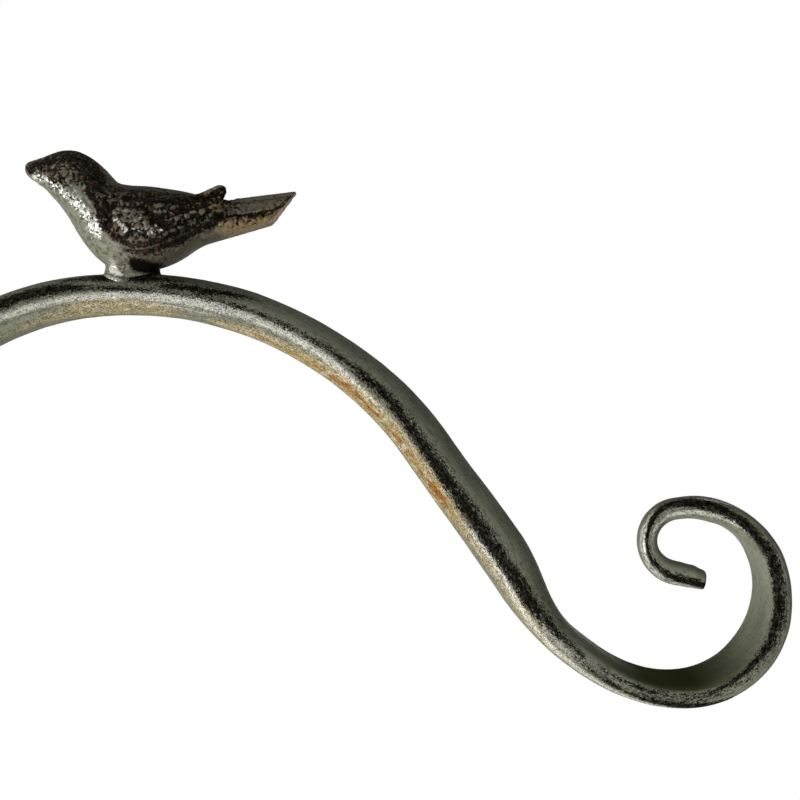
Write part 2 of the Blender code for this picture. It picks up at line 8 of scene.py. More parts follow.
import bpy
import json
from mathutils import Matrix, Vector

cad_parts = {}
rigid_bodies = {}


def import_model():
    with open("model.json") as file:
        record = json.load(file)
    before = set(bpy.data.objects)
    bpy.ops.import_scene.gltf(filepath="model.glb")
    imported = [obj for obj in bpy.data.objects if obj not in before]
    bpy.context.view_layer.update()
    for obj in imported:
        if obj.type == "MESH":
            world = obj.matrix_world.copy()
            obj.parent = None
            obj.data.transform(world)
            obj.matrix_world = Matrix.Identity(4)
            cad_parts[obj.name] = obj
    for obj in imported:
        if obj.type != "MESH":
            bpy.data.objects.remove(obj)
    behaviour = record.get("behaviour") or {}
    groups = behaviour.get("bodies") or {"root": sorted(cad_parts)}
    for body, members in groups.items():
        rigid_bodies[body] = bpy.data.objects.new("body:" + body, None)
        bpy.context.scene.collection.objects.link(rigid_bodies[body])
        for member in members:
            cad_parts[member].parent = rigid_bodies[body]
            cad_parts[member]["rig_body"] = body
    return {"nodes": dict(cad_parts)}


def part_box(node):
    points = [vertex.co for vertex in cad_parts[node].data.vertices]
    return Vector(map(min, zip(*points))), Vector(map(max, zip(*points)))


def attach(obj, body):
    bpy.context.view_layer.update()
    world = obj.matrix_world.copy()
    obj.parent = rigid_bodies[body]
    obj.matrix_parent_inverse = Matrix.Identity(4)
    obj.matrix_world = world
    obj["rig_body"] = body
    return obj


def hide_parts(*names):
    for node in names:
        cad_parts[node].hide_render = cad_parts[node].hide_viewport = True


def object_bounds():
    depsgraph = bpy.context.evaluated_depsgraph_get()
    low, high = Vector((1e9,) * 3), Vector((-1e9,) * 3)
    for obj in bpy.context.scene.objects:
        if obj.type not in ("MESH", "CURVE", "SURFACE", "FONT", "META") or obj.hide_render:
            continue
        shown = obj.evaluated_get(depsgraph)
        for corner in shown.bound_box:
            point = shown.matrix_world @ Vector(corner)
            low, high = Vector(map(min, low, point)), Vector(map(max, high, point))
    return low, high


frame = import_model()
cad_low, cad_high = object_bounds()

# %% [markdown]
# Blender works in metres, and a smith thinks in millimetres. So the sizes are written in millimetres here,
# and one scale value turns them into metres.
#
# An operator acts on everything that is selected. Each piece therefore starts by letting go of all the
# others.
#
# Extruding leaves the new faces in an order that changes from run to run. Later steps add numbers up in
# that order, so their last digits change, and a remesh turns those into another skin. The faces are
# therefore put in one fixed order when they are turned outwards, and each run gives the same piece.

# %% Imports and small tools
import json
import math

import bmesh
import bpy
import numpy as np
from mathutils import Vector, noise

MM = 0.001


def let_go():
    """Nothing stays selected, so the next operator acts only on what it makes."""
    bpy.ops.object.select_all(action="DESELECT")


def hold(item):
    let_go()
    item.select_set(True)
    bpy.context.view_layer.objects.active = item


def name_new(name):
    """Name what the last primitive made, and put its place into its mesh."""
    bpy.ops.object.transform_apply(location=True, rotation=True, scale=True)
    item = bpy.context.active_object
    item.name = name
    item.data.name = name
    return item


def start_edit(item, mode="FACE"):
    hold(item)
    bpy.ops.object.mode_set(mode="EDIT")
    bpy.ops.mesh.select_mode(type=mode)


def edit_all(item, mode="FACE"):
    start_edit(item, mode)
    bpy.ops.mesh.select_all(action="SELECT")


def end_edit():
    bpy.ops.object.mode_set(mode="OBJECT")


def push_out(x=0.0, y=0.0, z=0.0):
    """Extrude what is selected and move it, in metres."""
    bpy.ops.mesh.extrude_region_move(TRANSFORM_OT_translate={"value": (x, y, z)})


def points_of(item):
    """The piece's points as rows of x, y and z."""
    table = np.empty(len(item.data.vertices) * 3, dtype=np.float64)
    item.data.vertices.foreach_get("co", table)
    return table.reshape(-1, 3)


def move_points(item, table):
    item.data.vertices.foreach_set("co", table.astype(np.float32).ravel())
    item.data.update()


def order_faces(item):
    """Rebuild the mesh with its faces in one fixed order, each listed from its lowest point on."""
    faces = []
    for face in item.data.polygons:
        corners = list(face.vertices)
        first = corners.index(min(corners))
        faces.append(corners[first:] + corners[:first])
    points = points_of(item).tolist()
    item.data.clear_geometry()
    item.data.from_pydata(points, [], sorted(faces))
    item.data.update()


def face_outwards(item):
    edit_all(item)
    bpy.ops.mesh.normals_make_consistent(inside=False)
    end_edit()
    order_faces(item)


def triangles(item):
    return sum(len(face.vertices) - 2 for face in item.data.polygons)


print("tools ready")

# %% [markdown]
# The camera looks at the flat side of the crook from close by, with its picture plane parallel to the
# crook. Close by, what is nearer looks larger: the bird's wing and the edge of the flattened scroll stand
# out a little.

# %% Camera
FILM_WIDTH = 36.0
PICTURE_PIXELS = 800
PIXELS_PER_MM = 4.0
CAMERA_AWAY = 235.0
CAMERA_X = 144.83
CAMERA_Z = 1152.74
bpy.ops.object.camera_add(location=(CAMERA_X * MM, -CAMERA_AWAY * MM, CAMERA_Z * MM),
                          rotation=(math.pi / 2, 0.0, 0.0))
camera = bpy.context.active_object
camera.name = "studio_camera"
camera.data.sensor_width = FILM_WIDTH
camera.data.lens = CAMERA_AWAY * FILM_WIDTH / (PICTURE_PIXELS / PIXELS_PER_MM)
camera.data.clip_start = 0.01
bpy.context.scene.camera = camera
print("camera lens", round(camera.data.lens, 2), "mm")

# %% [markdown]
# The studio is a pale floor that fades out at its rim, a white sky for the camera, and soft lamps. The main
# lamp stands low on the left, so undersides are bright and the top of the bar is dark, as on the real one.
# What the sky gives as light is much weaker than what the camera sees of it, and Light Path tells them apart.

# %% Sky
def new_node(tree, kind, values=(), **settings):
    """Add a node. Each of its named inputs gets a plain value or a link."""
    made = tree.nodes.new(kind)
    for key, value in settings.items():
        setattr(made, key, value)
    for key, value in dict(values).items():
        if isinstance(value, bpy.types.NodeSocket):
            tree.links.new(value, made.inputs[key])
        else:
            made.inputs[key].default_value = value
    return made


def calc(tree, operation, first, second=0.0, third=0.0):
    return new_node(tree, "ShaderNodeMath", {0: first, 1: second, 2: third}, operation=operation).outputs[0]


SKY_LIGHT = 0.10
world = bpy.data.worlds.new("studio_sky")
bpy.context.scene.world = world
world.use_nodes = True
sky = world.node_tree
sky.nodes.clear()
rays = new_node(sky, "ShaderNodeLightPath")
seen = calc(sky, "MAXIMUM", rays.outputs["Is Camera Ray"], rays.outputs["Is Transmission Ray"])
seen = calc(sky, "MAXIMUM", seen, rays.outputs["Is Glossy Ray"])
strength = calc(sky, "MULTIPLY_ADD", seen, 1.0 - SKY_LIGHT, SKY_LIGHT)
glow = new_node(sky, "ShaderNodeBackground", {"Color": (1.0, 1.0, 1.0, 1.0), "Strength": strength})
new_node(sky, "ShaderNodeOutputWorld", {"Surface": glow.outputs[0]})
bpy.context.scene.view_settings.view_transform = "Standard"
print("sky gives", SKY_LIGHT, "of white as light")

# %% [markdown]
# The floor is one wide disc. Seen from the side a floor ends in a hard line, so this one turns see-through
# towards its rim and melts into the white of the sky.

# %% Floor
def ramp(tree, value, low, high, low_out=0.0, high_out=1.0):
    """A soft step from one value to another."""
    values = {"Value": value, "From Min": low, "From Max": high, "To Min": low_out, "To Max": high_out}
    made = new_node(tree, "ShaderNodeMapRange", values, interpolation_type="SMOOTHSTEP")
    return made.outputs["Result"]


def new_paint(name):
    """A new material, with its node tree and its shader."""
    material = bpy.data.materials.new(name)
    material.use_nodes = True
    return material, material.node_tree, material.node_tree.nodes["Principled BSDF"]


FLOOR_RADIUS = 2.4
FLOOR_DROP = 0.4
FLOOR_GLOW = 0.32
FADE_FROM = FLOOR_RADIUS * 0.35
let_go()
bpy.ops.mesh.primitive_circle_add(vertices=96, radius=FLOOR_RADIUS, fill_type="NGON",
                                  location=(0.0, 0.0, cad_low.z - FLOOR_DROP * MM))
floor = name_new("studio_floor")
floor_paint, tree, shader = new_paint("floor_paint")
spot = new_node(tree, "ShaderNodeTexCoord").outputs["Object"]
away = new_node(tree, "ShaderNodeVectorMath", {0: spot}, operation="LENGTH").outputs["Value"]
fade = ramp(tree, away, FADE_FROM, FLOOR_RADIUS, 1.0, 0.0)
shader.inputs["Base Color"].default_value = (0.86, 0.86, 0.85, 1.0)
shader.inputs["Roughness"].default_value = 0.7
shader.inputs["Emission Strength"].default_value = FLOOR_GLOW
rays = new_node(tree, "ShaderNodeLightPath")
seen = calc(tree, "MAXIMUM", rays.outputs["Is Camera Ray"], rays.outputs["Is Glossy Ray"])
tree.links.new(seen, shader.inputs["Emission Color"])
tree.links.new(fade, shader.inputs["Alpha"])
floor.data.materials.append(floor_paint)
print("floor radius", FLOOR_RADIUS, "m")

# %% [markdown]
# The lamps are discs, because a wide lamp gives soft edges to its shadows. The two strong ones stand low on
# the left and behind, and the others only open up the shadows.

# %% Lamps
# Each lamp: place, the point it faces, width in metres and power in watts
LAMPS = (
    ("low_left_lamp", (-0.98, -0.84, 0.70), (0.10, 0.0, 1.10), 0.8, 16.5),
    ("under_lamp", (-0.20, -0.30, 0.42), (0.10, 0.0, 1.15), 0.5, 1.8),
    ("front_lamp", (0.50, -1.60, 0.90), (0.10, 0.0, 0.90), 1.0, 3.2),
    ("back_lamp", (0.60, 1.60, 0.90), (0.0, 0.0, 0.70), 1.2, 14.0),
    ("top_lamp", (-0.60, -0.50, 2.30), (0.0, 0.0, 0.60), 1.0, 0.6),
)
for name, place, target, size, watts in LAMPS:
    aim = (Vector(target) - Vector(place)).to_track_quat("-Z", "Y").to_euler()
    bpy.ops.object.light_add(type="AREA", location=place, rotation=aim)
    lamp = bpy.context.active_object
    lamp.name = name
    lamp.data.shape = "DISK"
    lamp.data.size = size
    lamp.data.energy = watts
print(len(LAMPS), "soft lamps")

# %% [markdown]
# The bar is laid out on a line of straights and arcs, the way a bending jig is set out: so far straight, then
# so many degrees round that radius. A positive radius turns left and a negative one turns right.

# %% The line of the crook
BAR_D = 12.0
CROWN_HEIGHT = 1180.0
CROOK_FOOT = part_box("crook_bar")[0].z / MM
BEND_R = 77.0
ARCH_R = 90.5
CROOK_RUNS = (
    ("pole", None, CROWN_HEIGHT - BEND_R - CROOK_FOOT),
    ("bend", -BEND_R, 90.0),
    ("arch", -ARCH_R, 55.0),
    ("slope", None, 42.5),
    ("sweep", 63.0, 23.0),
    ("lead", 39.0, 29.5),
    ("scroll", 21.25, 115.5),
    ("curl", 16.0, 74.0),
    ("flat", None, 2.0),
    ("eye", 5.0, 164.0),
    ("tip", None, 6.8),
)


def along(heading):
    return Vector((math.cos(heading), 0.0, math.sin(heading)))


def left_of(heading):
    return Vector((-math.sin(heading), 0.0, math.cos(heading)))


def lay_out(start, heading, runs):
    """Each run's start point, start heading, radius, length and way from the start of the line."""
    line = {}
    point = Vector(start)
    way = 0.0
    for name, radius, amount in runs:
        if radius is None:
            line[name] = (point.copy(), heading, None, amount, way)
            point += amount * along(heading)
            way += amount
        else:
            turn = math.copysign(math.radians(amount), radius)
            line[name] = (point.copy(), heading, radius, radius * turn, way)
            middle = point + radius * left_of(heading)
            heading += turn
            point = middle - radius * left_of(heading)
            way += radius * turn
    return line


crook_line = lay_out((0.0, 0.0, CROOK_FOOT), math.pi / 2, CROOK_RUNS)
print("bar length", round(sum(run[3] for run in crook_line.values()), 1), "mm")

# %% [markdown]
# The real crook is a round bar that a smith bends and then hammers flat towards the scroll. A curve with a
# bevel could follow the line, but its section can't go from round to a flat band.
#
# So a thin wire is extruded along the straights and spun round the arcs. Its rings are then drawn out to the
# forged section. The wire starts thin because the last eye is tighter than the bar is thick, and a full bar
# would fold through itself there.

# %% Draw a wire along a line
WIRE_R = 1.0


def draw_wire(name, line, sides, ring_gaps):
    """Extrude and spin a thin wire along the line. Returns it and the points that each run added."""
    start, heading = list(line.values())[0][:2]
    let_go()
    bpy.ops.mesh.primitive_circle_add(vertices=sides, radius=WIRE_R * MM, fill_type="NGON",
                                      location=start * MM, rotation=(0.0, math.pi / 2 - heading, 0.0))
    wire = name_new(name)
    spans = {}
    count = len(wire.data.vertices)
    edit_all(wire)
    for run, (point, heading, radius, length, _) in line.items():
        steps = max(1, round(length / ring_gaps[run]))
        if radius is None:
            move = along(heading) * length / steps * MM
            for _ in range(steps):
                push_out(*move)
        else:
            middle = (point + radius * left_of(heading)) * MM
            bpy.ops.mesh.spin(steps=steps, angle=length / radius, center=middle, axis=(0.0, 1.0, 0.0))
        end_edit()
        spans[run] = (count, len(wire.data.vertices))
        count = len(wire.data.vertices)
        start_edit(wire)
    end_edit()
    first = next(iter(spans))
    spans[first] = (0, spans[first][1])
    return wire, spans


CROOK_GAPS = {"pole": 4.0, "bend": 1.2, "arch": 1.0, "slope": 1.0, "sweep": 0.9, "lead": 0.9, "scroll": 0.75,
              "curl": 0.65, "flat": 0.7, "eye": 0.55, "tip": 0.5}
CROOK_SIDES = 80
crook, crook_spans = draw_wire("forged_crook", crook_line, CROOK_SIDES, CROOK_GAPS)
print("wire:", len(crook.data.vertices), "points")

# %% [markdown]
# Each row of the forging table says how thick the bar is in the plane of the crook, how wide it is across,
# and how square its section is. A squareness of 2 is an ellipse, and 4 is nearly a flat band with soft
# corners. Between the rows the sizes ease from one to the next, as hammer work does.

# %% Draw the wire out to the forged bar
CROOK_FORGING = (
    ("pole", 0.00, 1.00, 1.00, 2.0),
    ("bend", 0.20, 1.00, 1.00, 2.0),
    ("bend", 0.70, 0.94, 1.00, 2.0),
    ("bend", 1.00, 0.86, 1.00, 2.0),
    ("arch", 0.50, 0.92, 1.00, 2.0),
    ("arch", 1.00, 1.02, 1.03, 2.0),
    ("slope", 0.75, 1.08, 1.08, 2.1),
    ("sweep", 0.71, 0.67, 1.28, 3.0),
    ("lead", 1.00, 0.54, 1.48, 3.6),
    ("scroll", 0.50, 0.52, 1.48, 3.8),
    ("scroll", 0.95, 0.52, 1.20, 3.4),
    ("curl", 0.70, 0.50, 0.80, 2.8),
    ("flat", 0.60, 0.44, 0.66, 2.6),
    ("eye", 0.40, 0.39, 0.56, 2.5),
    ("eye", 0.98, 0.50, 0.50, 2.4),
    ("tip", 0.55, 0.47, 0.56, 2.3),
    ("tip", 0.92, 0.41, 0.50, 2.3),
    ("tip", 1.00, 0.39, 0.44, 2.3),
)


def forged_sizes(ways, line, table):
    """Thickness, width and squareness at each way along the line, eased between the rows."""
    stops = [line[run][4] + share * line[run][3] for run, share, *_ in table]
    place = np.clip(np.interp(ways, stops, range(len(stops))), 0.0, len(stops) - 1.0)
    low = np.minimum(place.astype(int), len(stops) - 2)
    mix = place - low
    mix = mix * mix * (3.0 - 2.0 * mix)
    sizes = np.array([row[2:] for row in table])
    return (sizes[low] + mix[:, None] * (sizes[low + 1] - sizes[low])).T


def wire_place(points, run):
    """Way along a run, height to the left of it, and heading there, for points of the wire in millimetres."""
    start, heading, radius, _, way = run
    if radius is None:
        offset = points - np.array(start)
        ways = offset @ np.array(along(heading))
        return way + ways, offset @ np.array(left_of(heading)), np.full(len(points), heading)
    middle = np.array(start + radius * left_of(heading))
    spoke = (points - middle) * -math.copysign(1.0, radius)
    reach = np.hypot(spoke[:, 0], spoke[:, 2])
    turned = np.arctan2(-spoke[:, 0], spoke[:, 2]) - heading
    turned = (turned + math.pi) % math.tau - math.pi
    return way + turned * radius, (abs(radius) - reach) * math.copysign(1.0, radius), heading + turned


def forge(item, line, spans, table, stock, outer_fixed=True):
    """Draw the wire's rings out to the forged section. Returns way, angle, out and up of every point."""
    points = points_of(item) / MM
    place = np.zeros((len(points), 4))
    for run, (first, last) in spans.items():
        part = points[first:last]
        way, up, heading = wire_place(part, line[run])
        angle = np.arctan2(up, -part[:, 1])
        thick, wide, square = forged_sizes(way, line, table)
        power = 2.0 / square
        lift = np.sign(np.sin(angle)) * np.abs(np.sin(angle)) ** power * thick * stock / 2
        out = -np.sign(np.cos(angle)) * np.abs(np.cos(angle)) ** power * wide * stock / 2
        side = np.stack((-np.sin(heading), np.zeros(len(part)), np.cos(heading)), axis=1)
        shift = (thick - 1.0) * stock / 2 if outer_fixed else 0.0
        points[first:last] = part + (lift + shift - up)[:, None] * side
        points[first:last, 1] = out
        place[first:last] = np.stack((way, np.degrees(angle), out, lift), axis=1)
    move_points(item, points * MM)
    return place


crook_place = forge(crook, crook_line, crook_spans, CROOK_FORGING, BAR_D)
low, high = crook.bound_box[0], crook.bound_box[6]
print("crook reaches", [round(v / MM, 1) for v in (*low, *high)])

# %% [markdown]
# The bar's foot has a blind hole for the pin of the upper joint. It is cut the way it would be by hand: the
# end face is inset to the size of the hole, and the inset is pushed into the bar. The rims of the pole's
# bars also get a small bevel.

# %% Blind holes in the ends of the bars
HOLE_D = 7.4
HOLE_DEPTH = 25.0
RIM_BEVEL = 0.5


def pick(item, wanted, parts="faces"):
    """In edit mode, select the faces or edges whose middle passes a test."""
    bpy.ops.mesh.select_all(action="DESELECT")
    shape = bmesh.from_edit_mesh(item.data)
    for part in getattr(shape, parts):
        if parts == "faces":
            middle = part.calc_center_median()
        else:
            middle = (part.verts[0].co + part.verts[1].co) / 2
        if wanted(middle):
            part.select_set(True)
    shape.select_flush_mode()
    bmesh.update_edit_mesh(item.data)


def cut_blind_hole(item, end_height, radius, depth):
    """Inset the flat end face of an upright bar and push it in; a negative depth pushes downwards."""
    start_edit(item)
    pick(item, lambda middle: abs(middle.z - end_height * MM) < 0.01 * MM)
    bpy.ops.mesh.inset(thickness=(radius - HOLE_D / 2) * MM)
    push_out(z=depth * MM)
    end_edit()


def bevel_rims(item, height):
    """Bevel the round edges that lie at one height on an upright bar."""
    start_edit(item, "EDGE")

    def on_rim(edge):
        return all(abs(v.co.z - height * MM) < 0.01 * MM for v in edge.verts)

    bpy.ops.mesh.select_all(action="DESELECT")
    shape = bmesh.from_edit_mesh(item.data)
    for edge in shape.edges:
        if on_rim(edge) and any(abs(face.normal.z) < 0.5 for face in edge.link_faces):
            edge.select_set(True)
    bmesh.update_edit_mesh(item.data)
    bpy.ops.mesh.bevel(offset=RIM_BEVEL * MM, segments=3, affect="EDGES")
    end_edit()


def upright_place(item):
    """Way, angle, out and lift on an upright bar; its left side is towards -X."""
    points = points_of(item) / MM
    angle = np.degrees(np.arctan2(-points[:, 0], -points[:, 1]))
    return np.stack((points[:, 2] - CROOK_FOOT, angle, points[:, 1], -points[:, 0]), axis=1)


# Cutting changes the order of the points, so each finds its place on the bar again by where it lies
forged = dict(zip(map(tuple, points_of(crook)), crook_place))
cut_blind_hole(crook, CROOK_FOOT, BAR_D / 2, HOLE_DEPTH)
face_outwards(crook)
crook_points = [tuple(point) for point in points_of(crook)]
crook_place = np.array([forged.get(point, row) for point, row in zip(crook_points, upright_place(crook))])
print("hole", HOLE_D, "mm wide, with", sum(point not in forged for point in crook_points), "new points")

# %% [markdown]
# Where the paint is rubbed through follows the bar, not the room. So every point keeps its place on the bar
# as it was when it was straight: the way along it, and where it lies round the section.
#
# The marks are brush strokes on that straight bar. A stroke is a row of stops, each with a way along, an
# angle round the section, half a width in degrees and an extra depth in millimetres. Angle 0 faces the
# viewer and 90 is the top of the arch. The value kept on a point is how deep it lies inside the stroke, and
# the shader turns that into a ragged edge. The far side of the bar gets the same strokes, a little further
# along.

# %% Brush strokes on the bar
STROKES_FROM = crook_line["bend"][4] + BEND_R * math.radians(60.0)
DEG_TO_MM = BAR_D / 2 * math.radians(1.0)
FADE_PER_MM = 0.4
FAR_SIDE_SHIFT = 6.0
FAR_OUTSIDE = -9.0

BLACK_STROKES = (
    ((-12, 22, 12, 0.2), (10, 26, 12, 0.5), (20, 25, 11, 0.5), (27, 21, 8, 0.3), (33, 14, 4, 0.1),
     (40, 8, 5, 0.0), (50, 5, 6, -0.1)),
    ((48, 16, 3, 0.0), (53, 22, 7, 0.4), (60, 26, 9, 0.5), (66, 32, 6, 0.3), (71, 40, 3, 0.0)),
    ((50, 5, 6, -0.2), (60, 5, 7, -0.3), (80, 6, 7, -0.3), (95, 8, 8, -0.25), (105, 4, 11, -0.2),
     (113, 4, 13, -0.1), (120, -2, 13, 0.0), (127, -5, 13, 0.2), (135, -6, 13, 0.3), (145, -7, 13, 0.3),
     (155, -8, 12, 0.3), (162, -7, 11, 0.3), (170, -4, 11, 0.3), (176, 3, 9, 0.3), (183, 7, 6, 0.1),
     (190, 4, 3, -0.1)),
    ((26, 52, 12, -1.2), (36, 46, 22, -0.9), (46, 44, 22, -0.8), (54, 44, 12, -1.1)),
    ((-30, -30, 20, -1.4), (-12, -34, 22, -1.1), (0, -40, 18, -1.4)),
    ((188, -4, 2, -0.1), (196, -8, 3, 0.2), (204, -11, 4, 0.3), (211, -14, 8, 0.4), (216, -20, 16, 0.3),
     (221, -26, 16, 0.0), (226, -30, 8, -0.5)),
    ((196, 5, 4, -0.3), (210, 6, 5, -0.2), (222, 8, 5, -0.1), (228, 14, 7, 0.2), (234, 18, 10, 0.4),
     (240, 18, 12, 0.6), (246, 16, 12, 0.7), (252, 16, 12, 0.8), (258, 12, 9, 0.8), (264, 6, 8, 0.7),
     (268, -2, 9, 0.6), (273, -14, 14, 0.6), (279, -36, 26, 0.5), (283, -40, 20, 0.1), (287, -16, 8, 0.2),
     (292, -10, 7, 0.4), (298, -20, 14, 0.5), (302, -24, 18, 0.5)),
)
# Pale strokes are rubbed metal, and they also paint highlights: along the front of the bar and the pole, on
# the lighter underside below the crown and on the inner top of the curl.
PALE_WEAR_AND_HIGHLIGHT_STROKES = (
    ((-20, -8, 6, 0.0), (10, -9, 7, 0.0), (30, -9, 7, 0.1), (50, -9, 8, 0.4), (60, -9, 9, 0.6),
     (70, -9, 8, 0.3), (85, -10, 8, 0.2), (98, -15, 8, 0.0), (106, -22, 8, -0.5), (114, -24, 8, -0.9),
     (125, -25, 7, -0.9), (145, -25, 6, -0.9)),
    ((176, -4, 5, 0.0), (185, -6, 5, 0.0), (192, -5, 3, -0.1)),
    ((150, -30, 10, -0.6), (165, -28, 12, -0.5), (180, -34, 16, -0.5), (200, -36, 16, -0.5),
     (215, -34, 12, -0.6)),
    ((256, 9, 6, -0.1), (262, 8, 7, 0.0), (270, 12, 12, 0.1), (280, 12, 12, -0.3), (286, 8, 6, -0.2)),
    ((45, -28, 27, -3.3), (52, -32, 27, -2.8), (60, -34, 27, -2.8), (68, -34, 27, -3.3)),
    ((268, -58, 10, -1.0), (278, -50, 20, -0.6), (288, -46, 24, -0.4), (298, -50, 16, -1.0)),
)
OCHRE_STROKES = (
    ((-14, -54, 22, -2.2), (10, -54, 22, -2.1), (20, -56, 22, -1.3), (30, -60, 22, -0.7),
     (40, -62, 22, -0.5), (50, -60, 22, -0.8), (57, -56, 14, -1.6)),
    ((18, -42, 14, -1.5), (28, -38, 18, -0.6), (36, -35, 20, -0.4), (48, -36, 18, -0.6), (56, -42, 12, -1.4)),
    ((64, -58, 20, -1.0), (72, -58, 24, -0.2), (86, -57, 25, 0.1), (95, -52, 24, 0.5), (103, -48, 24, 1.1),
     (111, -48, 24, 0.7), (122, -48, 24, 0.6), (132, -48, 23, 0.7), (138, -45, 23, 1.4),
     (143, -46, 20, 0.8), (150, -46, 18, -0.2)),
    ((150, -44, 20, -1.0), (160, -42, 20, -0.6), (172, -35, 20, -0.1), (178, -35, 22, 0.3),
     (184, -35, 20, -0.4), (200, -36, 16, -0.8), (215, -34, 12, -1.2)),
)

# Painted shade on the inner face of the scroll's bottom, which faces up, away from the low lamps: way, then
# how dark
SCROLL_SHADE_ALONG = ((188, 0.0), (198, 0.45), (206, 0.95), (219, 1.0), (229, 0.55), (237, 0.12), (245, 0.0))
SCROLL_SHADE_HALF_DEG = 62.0
SCROLL_SHADE_EDGE_DEG = 16.0

print(len(BLACK_STROKES), "black,", len(PALE_WEAR_AND_HIGHLIGHT_STROKES), "pale and", len(OCHRE_STROKES), "ochre strokes")

# %% [markdown]
# No edge is cut yet. Each point only keeps how deep it lies inside the strokes of each kind. The straight
# pole gets one long stroke of each kind, which wanders a little as a hand does.

# %% Marks on the points of the bar
def stroke_depth(ways, angles, strokes):
    """How many millimetres inside the nearest stroke each point lies; below zero it is outside."""
    deepest = np.full(len(ways), FAR_OUTSIDE)
    for stroke in strokes:
        stops, middles, halves, extras = np.array(stroke, dtype=float).T
        beyond = np.maximum(stops[0] - ways, 0.0) + np.maximum(ways - stops[-1], 0.0)
        half = np.interp(ways, stops, halves)
        depth = (half - np.abs(angles - np.interp(ways, stops, middles))) * DEG_TO_MM
        depth += np.interp(ways, stops, extras) - beyond * FADE_PER_MM
        deepest = np.maximum(deepest, depth)
    return deepest


POLE_STOP_GAP = 23.0
POLE_FIRST = -1600.0
POLE_LAST = -20.0
POLE_WANDER_DEG = 6.0
POLE_SWELL = 0.35
# Each mark: its strokes on the crook, then the middle, half width, extra depth and seed of its pole stroke
STROKES = {
    "black": (BLACK_STROKES, (20.0, 11.0, 0.2, 1.0)),
    "pale_wear_and_highlight": (PALE_WEAR_AND_HIGHLIGHT_STROKES, (-6.0, 8.0, 0.0, 2.0)),
    "ochre": (OCHRE_STROKES, (-48.0, 18.0, -0.4, 3.0)),
}


def pole_stroke(middle, half, extra, seed):
    """A stroke that wanders along the straight pole."""
    stops = []
    for i in range(int((POLE_LAST - POLE_FIRST) / POLE_STOP_GAP) + 2):
        way = POLE_FIRST + i * POLE_STOP_GAP
        wander = math.sin(way / 31.0 + seed) + 0.6 * math.sin(way / 13.0 + 2.3 * seed)
        stops.append((way, middle + POLE_WANDER_DEG * wander,
                      half + POLE_SWELL * half * math.sin(way / 19.0 + seed),
                      extra + POLE_SWELL * math.sin(way / 27.0 + 1.7 * seed)))
    return tuple(stops)


def store(item, name, values):
    """Keep one number, or one vector, on each point, for the material to read."""
    kind, field = ("FLOAT_VECTOR", "vector") if values.ndim == 2 else ("FLOAT", "value")
    layer = item.data.attributes.new(name, kind, "POINT")
    layer.data.foreach_set(field, values.astype(np.float32).ravel())


def paint_marks(item, place, ways):
    """Keep the straight-bar place, the three kinds of mark and the painted shade of the scroll on every point.
    """
    angle = place[:, 1]
    far = np.abs(angle) > 90.0
    front = np.where(far, np.sign(angle) * 180.0 - angle, angle)
    ways = ways + np.where(far, FAR_SIDE_SHIFT, 0.0)
    store(item, "bar_place", np.stack((place[:, 0], place[:, 2], place[:, 3]), axis=1))
    for mark, (strokes, on_pole) in STROKES.items():
        store(item, mark, stroke_depth(ways, front, strokes + (pole_stroke(*on_pole),)))
    # Painted shade on the inner bottom of the scroll
    stops, amounts = np.array(SCROLL_SHADE_ALONG).T
    across = np.clip((SCROLL_SHADE_HALF_DEG - np.abs(angle - 90.0)) / SCROLL_SHADE_EDGE_DEG + 1.0, 0.0, 1.0)
    store(item, "scroll_shade", np.interp(place[:, 0] - STROKES_FROM, stops, amounts) * across)


paint_marks(crook, crook_place, crook_place[:, 0] - STROKES_FROM)
print("strokes start", round(STROKES_FROM, 1), "mm along the bar")

# %% [markdown]
# A hammer leaves wide shallow dents on a forged bar, and the scale leaves small lumps. They could be
# sculpted, but not twice the same way. So two cloud patterns push the surface in and out by part of a
# millimetre.

# %% Finish the crook: hammered unevenness
HAMMER_SIZE = 14.0
HAMMER_DEPTH = 0.28
LUMP_SIZE = 2.2
LUMP_DEPTH = 0.07


def apply_all(item):
    hold(item)
    for step in list(item.modifiers):
        bpy.ops.object.modifier_apply(modifier=step.name)


def smooth_look(item, degrees=40.0):
    hold(item)
    bpy.ops.object.shade_smooth_by_angle(angle=math.radians(degrees))


def add_unevenness(item, size, depth):
    """Push the surface in and out by a soft cloud pattern, in millimetres."""
    pattern = bpy.data.textures.new("unevenness_%g" % size, type="CLOUDS")
    pattern.noise_scale = size * MM
    step = item.modifiers.new("Unevenness", "DISPLACE")
    step.texture = pattern
    step.texture_coords = "LOCAL"
    step.strength = depth * MM
    step.mid_level = 0.5


def hammer(item, size=HAMMER_SIZE, depth=HAMMER_DEPTH):
    """The wide dents of the hammer and the small lumps of the scale, then smooth shading."""
    add_unevenness(item, size, depth)
    add_unevenness(item, LUMP_SIZE, LUMP_DEPTH)
    apply_all(item)
    smooth_look(item)


hammer(crook)
print("crook:", triangles(crook), "triangles")

# %% [markdown]
# The finish. Shared effects are node groups. A group gives out only a mask, a colour or a height, and the
# shader itself stays in the material.
#
# The first group turns a stroke's depth into a ragged mask. Its noise is stretched along the bar, because the
# paint was wiped that way.

# %% Group: ragged stroke
def new_group(name, inputs, outputs):
    group = bpy.data.node_groups.new(name, "ShaderNodeTree")
    for label, kind, default in inputs:
        socket = group.interface.new_socket(label, in_out="INPUT", socket_type=kind)
        socket.default_value = default
    for label, kind in outputs:
        group.interface.new_socket(label, in_out="OUTPUT", socket_type=kind)
    return group, new_node(group, "NodeGroupInput"), new_node(group, "NodeGroupOutput")


